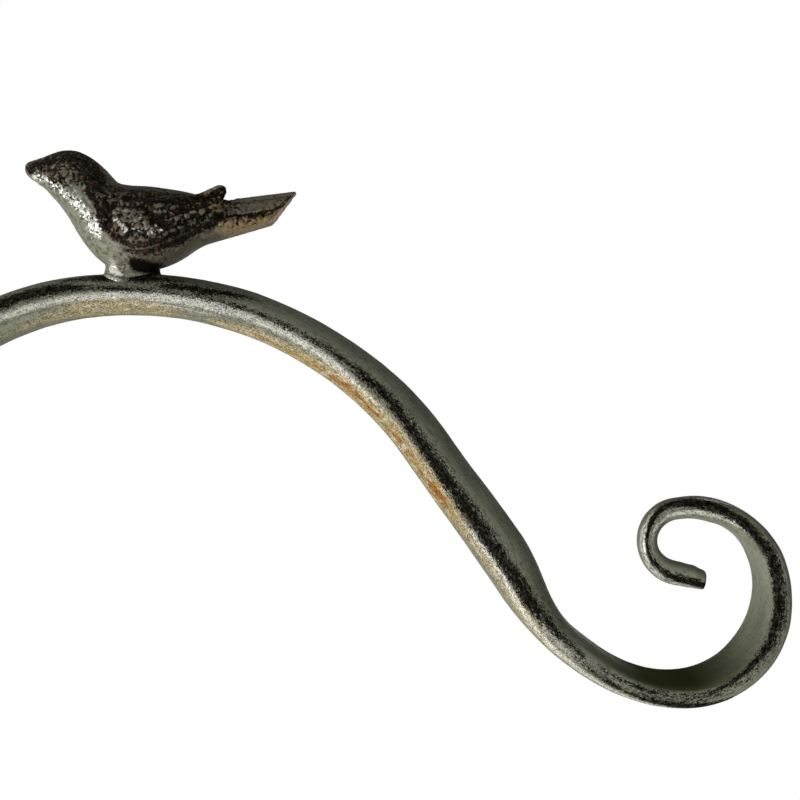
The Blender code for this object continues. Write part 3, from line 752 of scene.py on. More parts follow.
def stretched_noise(tree, place, scales, detail, roughness):
    """Noise on a place in millimetres; the three scales are patches per millimetre."""
    scaled = new_node(tree, "ShaderNodeVectorMath", {0: place, 1: scales}, operation="MULTIPLY")
    values = {"Vector": scaled.outputs[0], "Scale": 1.0, "Detail": detail, "Roughness": roughness}
    return new_node(tree, "ShaderNodeTexNoise", values).outputs["Fac"]


def blend_colours(tree, factor, first, second):
    return new_node(tree, "ShaderNodeMix", {0: factor, 6: first, 7: second}, data_type="RGBA").outputs[2]


FLOAT = "NodeSocketFloat"
VECTOR = "NodeSocketVector"

stroke_group, entry, leave = new_group(
    "Ragged stroke",
    (("Place", VECTOR, (0.0, 0.0, 0.0)), ("Depth", FLOAT, 0.0), ("Reach", FLOAT, 1.0),
     ("Softness", FLOAT, 0.15)),
    (("Mask", FLOAT),))
coarse = stretched_noise(stroke_group, entry.outputs["Place"], (0.22, 0.8, 0.8), 3.0, 0.6)
fine = stretched_noise(stroke_group, entry.outputs["Place"], (1.1, 3.2, 3.2), 3.0, 0.7)
dust = stretched_noise(stroke_group, entry.outputs["Place"], (2.6, 4.2, 4.2), 2.0, 0.7)
coarse = calc(stroke_group, "MULTIPLY_ADD", coarse, 3.2, -1.6)
fine = calc(stroke_group, "MULTIPLY_ADD", fine, 5.0, -2.5)
dust = calc(stroke_group, "MULTIPLY_ADD", dust, 6.0, -3.0)
push = calc(stroke_group, "ADD", coarse, fine)
push = calc(stroke_group, "ADD", push, dust)
depth = calc(stroke_group, "MULTIPLY_ADD", push, entry.outputs["Reach"], entry.outputs["Depth"])
soft = calc(stroke_group, "MULTIPLY", entry.outputs["Softness"], -1.0)
mask = ramp(stroke_group, depth, soft, entry.outputs["Softness"])
stroke_group.links.new(mask, leave.inputs["Mask"])
print("group:", stroke_group.name)

# %% [markdown]
# The second group is the paint's own unevenness: a slow drift in tone, and a fine grain that also gives the
# height for the bump.

# %% Group: paint grain
grain_group, entry, leave = new_group(
    "Paint grain",
    (("Place", VECTOR, (0.0, 0.0, 0.0)),),
    (("Drift", FLOAT), ("Grain", FLOAT), ("Height", FLOAT)))
drift = stretched_noise(grain_group, entry.outputs["Place"], (0.06, 0.16, 0.16), 3.0, 0.5)
grain = stretched_noise(grain_group, entry.outputs["Place"], (1.2, 2.6, 2.6), 5.0, 0.7)
pits = stretched_noise(grain_group, entry.outputs["Place"], (0.7, 0.9, 0.9), 4.0, 0.6)
height = calc(grain_group, "MULTIPLY_ADD", grain, 0.5, pits)
grain_group.links.new(ramp(grain_group, drift, 0.3, 0.7), leave.inputs["Drift"])
grain_group.links.new(ramp(grain_group, grain, 0.25, 0.75), leave.inputs["Grain"])
grain_group.links.new(height, leave.inputs["Height"])
print("group:", grain_group.name)

# %% [markdown]
# Rubbing also leaves dark specks, and short hairlines where the brush dragged. Where a noise passes through
# one level it draws a thin winding line, and that makes the hairs.

# %% Group: specks and hairs
speck_group, entry, leave = new_group(
    "Specks and hairs",
    (("Place", VECTOR, (0.0, 0.0, 0.0)), ("Amount", FLOAT, 0.5)),
    (("Mask", FLOAT),))
specks = stretched_noise(speck_group, entry.outputs["Place"], (2.2, 3.0, 3.0), 3.0, 0.7)
winding = stretched_noise(speck_group, entry.outputs["Place"], (0.8, 1.3, 1.3), 2.0, 0.6)
broken = stretched_noise(speck_group, entry.outputs["Place"], (0.5, 0.9, 0.9), 2.0, 0.5)
line = calc(speck_group, "ABSOLUTE", calc(speck_group, "SUBTRACT", winding, 0.5))
hair = ramp(speck_group, line, 0.010, 0.038, 1.0, 0.0)
hair = calc(speck_group, "MULTIPLY", hair, ramp(speck_group, broken, 0.38, 0.48))
level = calc(speck_group, "MULTIPLY_ADD", entry.outputs["Amount"], 0.16, specks)
speck = ramp(speck_group, level, 0.69, 0.76)
both = calc(speck_group, "MAXIMUM", speck, calc(speck_group, "MULTIPLY", hair, entry.outputs["Amount"]))
speck_group.links.new(both, leave.inputs["Mask"])
print("group:", speck_group.name)

# %% [markdown]
# Colours are written as they look on a screen, from 0 to 255. Blender counts in linear light, and a small
# helper turns the one into the other.

# %% Colours of the paint
def tone(red, green, blue):
    """A colour written as it looks on screen, from 0 to 255, turned into Blender's linear values."""
    linear = []
    for part in (red, green, blue):
        part /= 255.0
        linear.append(part / 12.92 if part <= 0.04045 else ((part + 0.055) / 1.055) ** 2.4)
    return (*linear, 1.0)


SAGE = tone(140, 143, 124)
SAGE_DEEP = tone(116, 119, 103)
SAGE_LIGHT = tone(162, 163, 143)
DULL_TAN = tone(186, 173, 134)
GOLD_TAN = tone(184, 157, 100)
CREAM = tone(214, 206, 178)
ORANGE = tone(168, 106, 40)
# Pale rubbed metal, also used as painted highlight
SILVER_WEAR_AND_HIGHLIGHT = tone(218, 217, 205)
BLACK = tone(20, 17, 13)
SOOT_GREY = tone(60, 58, 51)
SOOT_BROWN = tone(58, 42, 27)
SPECK_BROWN = tone(50, 40, 28)
# Olive of the painted shade in the bottom of the scroll
SCROLL_SHADE_TONE = tone(79, 85, 52)

print("sage in linear light:", [round(part, 3) for part in SAGE[:3]])

# %% [markdown]
# The worn paint itself, in layers from the bottom up: sage grey, a painted shade in the bottom of the scroll,
# ochre where old rust blooms through, a pale metal sheen where the rubbing was light, which also paints the
# highlights along the bar, and black where the first coat shows.

# %% Material: worn sage paint
def place_group(tree, group, values):
    return new_node(tree, "ShaderNodeGroup", values, node_tree=group)


def read_mark(tree, name):
    return new_node(tree, "ShaderNodeAttribute", attribute_name=name)


def object_place(tree):
    """Object coordinates in millimetres."""
    values = {0: new_node(tree, "ShaderNodeTexCoord").outputs["Object"], 1: (1 / MM,) * 3}
    return new_node(tree, "ShaderNodeVectorMath", values, operation="MULTIPLY").outputs[0]


def finish_paint(tree, shader, colour, rough, shine, relief, strength, depth):
    """Link colour, roughness and metal to the shader, and relief as a bump of some depth in millimetres."""
    bump = new_node(tree, "ShaderNodeBump", {"Height": relief, "Strength": strength, "Distance": depth * MM})
    for socket, value in (("Base Color", colour), ("Roughness", rough), ("Metallic", shine),
                          ("Normal", bump.outputs["Normal"])):
        tree.links.new(value, shader.inputs[socket])


def worn_paint(name):
    material, tree, shader = new_paint(name)
    shader.inputs["Specular IOR Level"].default_value = 0.0
    place = read_mark(tree, "bar_place").outputs["Vector"]
    depths = {mark: read_mark(tree, mark).outputs["Fac"] for mark in ("ochre", "pale_wear_and_highlight", "black")}

    def ragged(mark, reach, softness):
        values = {"Place": place, "Depth": depths[mark], "Reach": reach, "Softness": softness}
        return place_group(tree, stroke_group, values).outputs["Mask"]

    grain = place_group(tree, grain_group, {"Place": place})
    colour = blend_colours(tree, grain.outputs["Drift"], SAGE_DEEP, SAGE)
    light = calc(tree, "MULTIPLY", grain.outputs["Grain"], 0.45)
    colour = blend_colours(tree, light, colour, SAGE_LIGHT)

    scratch = stretched_noise(tree, place, (0.16, 3.2, 3.2), 3.0, 0.6)
    colour = blend_colours(tree, ramp(tree, scratch, 0.54, 0.72, 0.0, 0.45), colour, SAGE_LIGHT)
    colour = blend_colours(tree, ramp(tree, scratch, 0.46, 0.28, 0.0, 0.55), colour, SOOT_GREY)
    mottle = stretched_noise(tree, place, (0.7, 1.2, 1.2), 4.0, 0.7)
    grime = calc(tree, "MULTIPLY", ramp(tree, mottle, 0.50, 0.70), 0.45)
    colour = blend_colours(tree, grime, colour, SOOT_GREY)
    # Painted shade in the bottom of the scroll, which faces up, away from the low lamps
    scroll_shade = read_mark(tree, "scroll_shade").outputs["Fac"]
    colour = blend_colours(tree, scroll_shade, colour, SCROLL_SHADE_TONE)

    ochre = ragged("ochre", 0.85, 0.6)
    burn = stretched_noise(tree, place, (0.24, 0.5, 0.5), 5.0, 0.68)
    burn = calc(tree, "MULTIPLY_ADD", depths["ochre"], 0.14, burn)
    flake = stretched_noise(tree, place, (0.42, 0.8, 0.8), 5.0, 0.62)
    cream = calc(tree, "MULTIPLY_ADD", depths["ochre"], 0.03, flake)
    rust = blend_colours(tree, ramp(tree, depths["ochre"], 1.0, 2.6), DULL_TAN, GOLD_TAN)
    rust = blend_colours(tree, ramp(tree, cream, 0.57, 0.66), rust, CREAM)
    rust = blend_colours(tree, ramp(tree, burn, 0.84, 1.00), rust, ORANGE)
    amount = calc(tree, "MULTIPLY", ochre, 0.92)
    colour = blend_colours(tree, amount, colour, rust)

    # Pale rubbed metal, which also paints the highlight along the front of the bar
    pale_wear_and_highlight = ragged("pale_wear_and_highlight", 0.30, 0.7)
    amount = calc(tree, "MULTIPLY", pale_wear_and_highlight, 0.85)
    colour = blend_colours(tree, amount, colour, SILVER_WEAR_AND_HIGHLIGHT)

    worked = calc(tree, "MAXIMUM", depths["ochre"], calc(tree, "MAXIMUM", depths["pale_wear_and_highlight"], depths["black"]))
    worked = ramp(tree, worked, -2.4, 0.2, 0.25, 1.1)
    specks = place_group(tree, speck_group, {"Place": place, "Amount": worked})
    amount = calc(tree, "MULTIPLY", specks.outputs["Mask"], 0.7)
    colour = blend_colours(tree, amount, colour, SPECK_BROWN)

    black = ragged("black", 0.80, 0.25)
    dark_coat_and_shadow = stretched_noise(tree, place, (0.9, 1.6, 1.6), 4.0, 0.7)
    dark = blend_colours(tree, ramp(tree, dark_coat_and_shadow, 0.49, 0.62), BLACK, SOOT_GREY)
    brown = stretched_noise(tree, place, (0.4, 0.9, 0.9), 4.0, 0.6)
    dark = blend_colours(tree, ramp(tree, brown, 0.62, 0.74), dark, SOOT_BROWN)
    colour = blend_colours(tree, black, colour, dark)

    rough = calc(tree, "MULTIPLY_ADD", pale_wear_and_highlight, -0.08, 0.42)
    rough = calc(tree, "MULTIPLY_ADD", black, 0.10, rough)
    shine = calc(tree, "MULTIPLY_ADD", pale_wear_and_highlight, 0.18, 0.08)
    # Less metal sheen where the painted shade of the scroll lies
    shine = calc(tree, "MULTIPLY_ADD", scroll_shade, -0.08, shine)
    relief = calc(tree, "MULTIPLY_ADD", black, -0.5, grain.outputs["Height"])
    scales = calc(tree, "MULTIPLY", ochre, ramp(tree, flake, 0.46, 0.56))
    relief = calc(tree, "MULTIPLY_ADD", scales, 0.9, relief)
    finish_paint(tree, shader, colour, rough, shine, relief, 0.45, 0.10)
    return material


def hand_over(item, paint, body, node):
    """Give a finished piece its paint, the body it moves with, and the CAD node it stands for."""
    item.data.materials.append(paint)
    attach(item, body)
    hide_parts(node)
    print(item.name, triangles(item), "triangles on", body)


bar_paint = worn_paint("worn_sage_paint")
hand_over(crook, bar_paint, "crook", "crook_bar")

# %% [markdown]
# The pole is two straight bars under the crook. Each is a disc that is extruded upwards in short steps, so
# that it has rings for the strokes and for a little unevenness. The ground bar begins as a small disc, which
# grows over the length of the point.

# %% Straight bars of the pole
BAR_SIDES = 64
BAR_GAP = 4.0
POINT_LENGTH = 42.0
POINT_TIP_D = 3.0
POINT_STEPS = 14
GROUND_LOW, GROUND_HIGH = (v.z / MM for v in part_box("stake_bar"))
MIDDLE_LOW, MIDDLE_HIGH = (v.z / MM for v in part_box("middle_bar"))


def start_disc(name, radius, height):
    let_go()
    bpy.ops.mesh.primitive_circle_add(vertices=BAR_SIDES, radius=radius * MM, fill_type="NGON",
                                      location=(0.0, 0.0, height * MM))
    item = name_new(name)
    edit_all(item)
    return item


def raise_disc(length, gap):
    steps = max(1, round(length / gap))
    for _ in range(steps):
        push_out(z=length / steps * MM)


def finish_upright(item, body, node):
    face_outwards(item)
    place = upright_place(item)
    paint_marks(item, place, place[:, 0] - STROKES_FROM)
    hammer(item)
    hand_over(item, bar_paint, body, node)


middle = start_disc("middle_pole", BAR_D / 2, MIDDLE_LOW)
raise_disc(MIDDLE_HIGH - MIDDLE_LOW, BAR_GAP)
end_edit()
cut_blind_hole(middle, MIDDLE_LOW, BAR_D / 2, HOLE_DEPTH)
cut_blind_hole(middle, MIDDLE_HIGH, BAR_D / 2, -HOLE_DEPTH)
bevel_rims(middle, MIDDLE_LOW)
bevel_rims(middle, MIDDLE_HIGH)
finish_upright(middle, "middle_pole", "middle_bar")

ground = start_disc("ground_spike", POINT_TIP_D / 2, GROUND_LOW)
radius = POINT_TIP_D / 2
for i in range(POINT_STEPS):
    share = (i + 1) / POINT_STEPS
    wanted = POINT_TIP_D / 2 + (BAR_D - POINT_TIP_D) / 2 * math.sin(share * math.pi / 2) ** 0.9
    raise_disc(POINT_LENGTH / POINT_STEPS, POINT_LENGTH)
    height = (GROUND_LOW + POINT_LENGTH * share) * MM
    bpy.ops.transform.resize(value=(wanted / radius, wanted / radius, 1.0),
                             center_override=(0.0, 0.0, height))
    radius = wanted
raise_disc(GROUND_HIGH - GROUND_LOW - POINT_LENGTH, BAR_GAP)
end_edit()
cut_blind_hole(ground, GROUND_HIGH, BAR_D / 2, -HOLE_DEPTH)
bevel_rims(ground, GROUND_HIGH)
finish_upright(ground, "ground_stake", "stake_bar")

# %% [markdown]
# A sleeve is a short tube. An open cylinder is cut into rings, Solidify gives it its wall, and Bevel rounds
# both rims inside and out. The paint is rubbed thin on the rims, where hands and the next pole touch them.

# %% Sleeves
SLEEVE_SIDES = 72
SLEEVE_WALL = 2.6
SLEEVE_RINGS = 14
SLEEVE_ROUND = 1.1
SLEEVE_SHARP_DEG = 50.0
RIM_WEAR = 2.2
RIM_STEEPNESS = 0.5
RIM_BLACK_LESS = 0.9


def change_mark(item, name, how):
    """Put a stored number through a function, on every point."""
    layer = item.data.attributes[name].data
    values = np.empty(len(layer), dtype=np.float32)
    layer.foreach_get("value", values)
    layer.foreach_set("value", how(values).astype(np.float32))


def make_sleeve(name, node, body):
    low, high = (v.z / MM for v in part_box(node))
    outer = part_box(node)[1].x / MM
    let_go()
    bpy.ops.mesh.primitive_cylinder_add(vertices=SLEEVE_SIDES, radius=outer * MM, depth=(high - low) * MM,
                                        end_fill_type="NOTHING", location=(0.0, 0.0, (low + high) / 2 * MM))
    sleeve = name_new(name)
    start_edit(sleeve, "EDGE")
    pick(sleeve, lambda middle: abs(middle.z - (low + high) / 2 * MM) < MM, "edges")
    bpy.ops.mesh.subdivide(number_cuts=SLEEVE_RINGS)
    end_edit()
    wall = sleeve.modifiers.new("Wall", "SOLIDIFY")
    wall.thickness = SLEEVE_WALL * MM
    wall.offset = -1.0
    rim = sleeve.modifiers.new("Rim", "BEVEL")
    rim.width = SLEEVE_ROUND * MM
    rim.segments = 4
    rim.limit_method = "ANGLE"
    rim.angle_limit = math.radians(SLEEVE_SHARP_DEG)
    apply_all(sleeve)
    place = upright_place(sleeve)
    paint_marks(sleeve, place, place[:, 0] - STROKES_FROM)
    points = points_of(sleeve) / MM
    to_rim = np.minimum(points[:, 2] - low, high - points[:, 2])
    rim_pale = (RIM_WEAR - to_rim) * RIM_STEEPNESS
    change_mark(sleeve, "pale_wear_and_highlight", lambda kept: np.maximum(kept, rim_pale))
    change_mark(sleeve, "black", lambda kept: np.maximum(kept, rim_pale - RIM_BLACK_LESS))
    add_unevenness(sleeve, LUMP_SIZE, LUMP_DEPTH)
    apply_all(sleeve)
    smooth_look(sleeve, SLEEVE_SHARP_DEG)
    hand_over(sleeve, bar_paint, body, node)


make_sleeve("lower_socket", "lower_sleeve", "ground_stake")
make_sleeve("upper_socket", "upper_sleeve", "middle_pole")

# %% [markdown]
# Braze and weld beads are laid in small steps, and each step leaves a ripple. A torus would be too even. So a
# small circle is extruded from stop to stop round the joint, turned and resized at each, and its two ends are
# bridged. A voxel remesh and a little smoothing then make it look melted and not turned.

# %% Beads
RIPPLES_PER_MM = 0.55
BEAD_VOXEL = 0.22
BEAD_SIDES = 12
BEAD_POINTS = 96
BEAD_MARKS = (("black", -0.8), ("pale_wear_and_highlight", -0.2), ("ochre", -1.8))


def grow(scale, middle):
    """Resize what is selected about a point in millimetres."""
    bpy.ops.transform.resize(value=scale, center_override=Vector(middle) * MM)


def melt(item, voxel, rounds):
    """Fuse the forms into one skin with a voxel remesh, and smooth away the steps of the voxels."""
    hold(item)
    item.data.remesh_voxel_size = voxel * MM
    item.data.remesh_voxel_adaptivity = 0.0
    bpy.ops.object.voxel_remesh()
    item.modifiers.new("Soften", "SMOOTH").iterations = rounds


def turn_between(before, after, axis):
    """The signed angle between two directions, about one of the main axes."""
    first, second = {"X": (1, 2), "Y": (2, 0), "Z": (0, 1)}[axis]
    return math.atan2(before[first] * after[second] - before[second] * after[first],
                      before[first] * after[first] + before[second] * after[second])


def lay_bead(name, path, radii, axis="Z", smoothing=4):
    """A closed bead along a path in millimetres that runs round one main axis, with a radius at each stop."""
    path = [Vector(point) for point in path]
    ahead = [path[(i + 1) % len(path)] - path[i - 1] for i in range(len(path))]
    facing = ahead[0].to_track_quat("Z", "Y").to_euler()
    let_go()
    bpy.ops.mesh.primitive_circle_add(vertices=BEAD_SIDES, radius=radii[0] * MM, fill_type="NOTHING",
                                      location=path[0] * MM, rotation=facing)
    bead = name_new(name)
    edit_all(bead, "EDGE")
    for i in range(1, len(path)):
        push_out(*(path[i] - path[i - 1]) * MM)
        bpy.ops.transform.rotate(value=-turn_between(ahead[i - 1], ahead[i], axis), orient_axis=axis,
                                 center_override=path[i] * MM)
        grown = radii[i] / radii[i - 1]
        grow((grown, grown, grown), path[i])
    bpy.ops.mesh.select_all(action="DESELECT")
    bpy.ops.mesh.select_non_manifold()
    bpy.ops.mesh.bridge_edge_loops()
    end_edit()
    face_outwards(bead)
    melt(bead, BEAD_VOXEL, smoothing)
    add_unevenness(bead, LUMP_SIZE, 2 * LUMP_DEPTH)
    apply_all(bead)
    bpy.ops.object.shade_smooth()
    return bead


def rippled(length_round, count, radius, depth):
    """Bead radius at each of a number of points, with a ripple for each step of the torch."""
    ripples = round(length_round * RIPPLES_PER_MM)
    radii = []
    for i in range(count):
        turn = math.tau * i / count
        radii.append(radius * (1.0 + depth * math.sin(ripples * turn) + 0.08 * math.sin(3 * turn + 1.0)))
    return radii


def finish_bead(bead, body, node):
    points = points_of(bead) / MM
    place = np.stack((points[:, 2] - CROOK_FOOT, np.zeros(len(points)), points[:, 1], -points[:, 0]), axis=1)
    store(bead, "bar_place", place[:, [0, 2, 3]])
    for mark, depth in BEAD_MARKS:
        store(bead, mark, np.full(len(points), depth))
    hand_over(bead, bar_paint, body, node)


def make_socket_bead(name, node, body):
    low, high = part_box(node)
    radius = (high.z - low.z) / MM / 2
    middle = (low.z + high.z) / MM / 2
    reach = high.x / MM - radius
    turns = [math.tau * i / BEAD_POINTS for i in range(BEAD_POINTS)]
    path = [(reach * math.cos(turn), reach * math.sin(turn), middle) for turn in turns]
    bead = lay_bead(name, path, rippled(math.tau * reach, BEAD_POINTS, radius, 0.10))
    finish_bead(bead, body, node)


make_socket_bead("lower_socket_bead", "lower_sleeve_braze", "ground_stake")
make_socket_bead("upper_socket_bead", "upper_sleeve_braze", "middle_pole")

# %% [markdown]
# Inside each joint sits a plain turned pin. It is bright steel, with fine rings from the lathe and a few
# brown spots. It starts as a cylinder, and its rims are bevelled.

# %% Material: bright steel
STEEL = tone(186, 184, 176)
STEEL_DARK = tone(140, 136, 126)
STAIN = tone(108, 82, 52)


def bright_steel(name):
    material, tree, shader = new_paint(name)
    place = object_place(tree)
    rings = stretched_noise(tree, place, (0.05, 0.05, 6.0), 3.0, 0.6)
    stains = stretched_noise(tree, place, (0.25, 0.25, 0.18), 5.0, 0.65)
    stain = ramp(tree, stains, 0.60, 0.68)
    colour = blend_colours(tree, rings, STEEL_DARK, STEEL)
    colour = blend_colours(tree, stain, colour, STAIN)
    rough = calc(tree, "MULTIPLY_ADD", stain, 0.4, 0.28)
    shine = calc(tree, "MULTIPLY_ADD", stain, -0.7, 1.0)
    finish_paint(tree, shader, colour, rough, shine, rings, 0.3, 0.05)
    return material


pin_steel = bright_steel("turned_pin_steel")
print("material:", pin_steel.name)

# %% [markdown]
# Each pin is a cylinder at the size and place of its node, with its rims bevelled so that they find the hole.
# It stays this plain, because a pin has to fit its hole all along.

# %% Pins
PIN_SIDES = 64
PIN_BEVEL = 0.9


def make_pin(name, node, body):
    low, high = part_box(node)
    middle = (low + high) / 2
    let_go()
    bpy.ops.mesh.primitive_cylinder_add(vertices=PIN_SIDES, radius=(high.y - low.y) / 2, depth=high.z - low.z,
                                        location=middle)
    pin = name_new(name)
    start_edit(pin, "EDGE")
    half = (high.z - low.z) / 2
    pick(pin, lambda place: abs(abs(place.z - middle.z) - half) < 0.01 * MM, "edges")
    bpy.ops.mesh.bevel(offset=PIN_BEVEL * MM, segments=4, affect="EDGES")
    end_edit()
    smooth_look(pin)
    hand_over(pin, pin_steel, body, node)


make_pin("lower_pin", "lower_spigot", frame["nodes"]["lower_spigot"]["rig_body"])
make_pin("upper_pin", "upper_spigot", frame["nodes"]["upper_spigot"]["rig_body"])
make_pin("bird_pin", "bird_peg", "crook")

# %% [markdown]
# The step is a second bar, hammered flat for the foot, then bent down to a point beside the stake. It is made
# like the crook: a thin wire along its line, drawn out to the forged section. Here the section keeps to the
# middle of the line.

# %% Step
STEP_START = 5.4
STEP_REACH = 112.0
STEP_BEND_R = 17.0
STEP_DEPTH = 190.0
TREAD_T = 8.0
TREAD_W = 18.0
PRONG_D = 10.0
PRONG_POINT_LENGTH = 38.0
TREAD_LENGTH = STEP_REACH - STEP_BEND_R - STEP_START
STEP_RUNS = (
    ("tread", None, TREAD_LENGTH),
    ("bend", -STEP_BEND_R, 90.0),
    ("prong", None, STEP_DEPTH + TREAD_T / 2 - STEP_BEND_R - PRONG_POINT_LENGTH),
    ("point", None, PRONG_POINT_LENGTH),
)
STEP_FORGING = (
    ("tread", (14.0 - STEP_START) / TREAD_LENGTH, TREAD_T, 11.0, 4.0),
    ("tread", (29.0 - STEP_START) / TREAD_LENGTH, TREAD_T, TREAD_W, 4.0),
    ("tread", 1.0 - 19.0 / TREAD_LENGTH, TREAD_T, TREAD_W, 4.0),
    ("bend", 0.0, PRONG_D, PRONG_D * 1.25, 2.6),
    ("bend", 0.6, PRONG_D, PRONG_D, 2.0),
    ("point", 0.0, PRONG_D, PRONG_D, 2.0),
    ("point", 1.0, POINT_TIP_D, POINT_TIP_D, 2.0),
)
STEP_GAPS = {"tread": 1.2, "bend": 1.0, "prong": 3.0, "point": 2.0}
STEP_HAMMER_SIZE = 8.4
STEP_HAMMER_DEPTH = 0.5
STEP_STROKES_FROM = 330.0
step_line = lay_out((STEP_START, 0.0, TREAD_T / 2), 0.0, STEP_RUNS)
step, step_spans = draw_wire("foot_step", step_line, BAR_SIDES, STEP_GAPS)
step_place = forge(step, step_line, step_spans, STEP_FORGING, 1.0, outer_fixed=False)
face_outwards(step)
paint_marks(step, step_place, step_place[:, 0] - STEP_STROKES_FROM)
hammer(step, STEP_HAMMER_SIZE, STEP_HAMMER_DEPTH)
hand_over(step, bar_paint, "ground_stake", "step_bar")

# %% [markdown]
# A weld bead runs round the root of the tread. It is laid like the other beads, on a path that follows the
# section of the tread and the round of the stake.

# %% Weld round the root of the tread
WELD_R = 1.6
TREAD_ROOT_W = 11.0
path = []
for i in range(BEAD_POINTS):
    turn = math.tau * i / BEAD_POINTS
    out = TREAD_ROOT_W / 2 * math.copysign(abs(math.cos(turn)) ** 0.6, math.cos(turn))
    rise = TREAD_T / 2 * math.copysign(abs(math.sin(turn)) ** 0.6, math.sin(turn))
    path.append((math.sqrt((BAR_D / 2 + 0.5) ** 2 - out ** 2), out, TREAD_T / 2 + rise))
weld = lay_bead("step_weld_bead", path, rippled(2 * (TREAD_ROOT_W + TREAD_T), BEAD_POINTS, WELD_R, 0.12), "X")
finish_bead(weld, "ground_stake", "step_weld")

# %% [markdown]
# The bird is one casting, about as long as a thumb. A caster's pattern maker would model it in wax: first the
# rounded forms, then the cuts, then the skin.
#
# Each form is a coarse cage. A ring of eight points is extruded from row to row, resized and tilted, and
# Subdivision Surface rounds it. The rows give a place beside the foot, a tilt, a height and a width.

# %% Bird: rounded forms
BIRD_LENGTH = 68.0
BIRD_HEIGHT = 30.5
BIRD_WIDTH = 22.0
ROUND_LEVELS = 3
FOOT_PLACE_DEG = 0.6
CROWN_SHARE = 0.86


def foot_point():
    """The point on top of the bar, just past the crown, where the bird stands."""
    start, heading, radius, *_ = crook_line["arch"]
    middle = start + radius * left_of(heading)
    turned = heading - math.radians(FOOT_PLACE_DEG)
    return middle - radius * left_of(turned) + (CROWN_SHARE * BAR_D - BAR_D / 2) * left_of(turned)


FOOT = foot_point()


def bird_point(x_share, z_share, out_share=0.0):
    return FOOT + Vector((x_share * BIRD_LENGTH, out_share * BIRD_WIDTH / 2, z_share * BIRD_HEIGHT))


def cage_swell(sides):
    """Subdividing a ring of points draws it in, and this makes up for it beforehand."""
    return 6.0 / (4.0 + 2.0 * math.cos(math.tau / sides))


def pick_ring(item, index, sides):
    bpy.ops.mesh.select_all(action="DESELECT")
    shape = bmesh.from_edit_mesh(item.data)
    shape.verts.ensure_lookup_table()
    for i in range(index * sides, (index + 1) * sides):
        shape.verts[i].select_set(True)
    bmesh.update_edit_mesh(item.data)


def make_form(name, rows, sides, lean=0.0):
    """A rounded form through rows of (middle, tilt in degrees, half height, half width) in millimetres."""
    swell = cage_swell(sides)
    middle, _, height, width = rows[0]
    let_go()
    bpy.ops.mesh.primitive_circle_add(vertices=sides, radius=MM, fill_type="NGON", location=middle * MM,
                                      rotation=(0.0, math.pi / 2, 0.0))
    form = name_new(name)
    edit_all(form)
    grow((1.0, width * swell, height * swell), middle)
    for (before, _, old_height, old_width), (middle, _, height, width) in zip(rows, rows[1:]):
        push_out(*(middle - before) * MM)
        grow((1.0, width / old_width, height / old_height), middle)
    bpy.ops.mesh.select_mode(type="VERT")
    for index, (middle, tilt, *_) in enumerate(rows):
        pick_ring(form, index, sides)
        if lean:
            bpy.ops.transform.rotate(value=-lean, orient_axis="X", center_override=middle * MM)
        bpy.ops.transform.rotate(value=math.radians(tilt), orient_axis="Y", center_override=middle * MM)
    end_edit()
    face_outwards(form)
    soft = form.modifiers.new("Round", "SUBSURF")
    soft.levels = ROUND_LEVELS
    soft.render_levels = ROUND_LEVELS
    apply_all(form)
    return form


print("the bird stands at", [round(part, 2) for part in FOOT], "mm")

# %% [markdown]
# The body is one form and each wing another, so that a crease is left where they meet. The far wing differs
# only in its tip, which the near one doesn't hide.

# %% Bird: body and wings
# Rows: x, z, tilt in degrees, half height, width, and for a wing how far out, in shares of the bird's sizes
BODY_ROWS = (
    (-0.395, 0.858, -3, 0.038, 0.08),
    (-0.375, 0.845, 6, 0.075, 0.17),
    (-0.325, 0.832, -7, 0.118, 0.32),
    (-0.245, 0.835, -22, 0.240, 0.60),
    (-0.155, 0.650, -45, 0.245, 0.70),
    (-0.110, 0.450, -25, 0.290, 0.92),
    (0.010, 0.335, -19, 0.400, 1.00),
    (0.135, 0.380, 10, 0.320, 0.94),
    (0.225, 0.450, 10, 0.220, 0.76),
    (0.310, 0.440, 12, 0.170, 0.56),
    (0.390, 0.460, 10, 0.125, 0.40),
)
WING_ROWS = (
    (-0.093, 0.446, -30, 0.085, 0.14, 0.62),
    (-0.041, 0.380, -10, 0.200, 0.22, 0.80),
    (0.059, 0.338, 2, 0.243, 0.24, 0.90),
    (0.156, 0.390, 14, 0.203, 0.23, 0.84),
    (0.244, 0.456, 24, 0.148, 0.20, 0.66),
    (0.303, 0.551, 38, 0.098, 0.15, 0.52),
    (0.355, 0.690, 60, 0.050, 0.09, 0.46),
)
FAR_WING_TIP = (0.338, 0.632, 52, 0.050, 0.09, 0.46)
WING_LEAN_DEG = 16.0
BODY_SIDES = 8
WING_SIDES = 6

body = make_form("cast_bird", [(bird_point(x, z), tilt, high * BIRD_HEIGHT, wide * BIRD_WIDTH / 2)
                               for x, z, tilt, high, wide in BODY_ROWS], BODY_SIDES)
forms = [body]
for side, tip in ((-1, WING_ROWS[-1]), (1, FAR_WING_TIP)):
    rows = [(bird_point(x, z, side * out), tilt, high * BIRD_HEIGHT, wide * BIRD_WIDTH / 2)
            for x, z, tilt, high, wide, out in (*WING_ROWS[:-1], tip)]
    forms.append(make_form("wing_form", rows, WING_SIDES, lean=side * math.radians(WING_LEAN_DEG)))
print(len(forms), "rounded forms")

# %% [markdown]
# The tail is three flat feathers, one over the other, each a tapered block with soft edges. A slanting cut
# trims all three at once, because the real tail ends on one slant. The stub of the foot is a short post that
# widens into the belly and runs a little way into the bar.

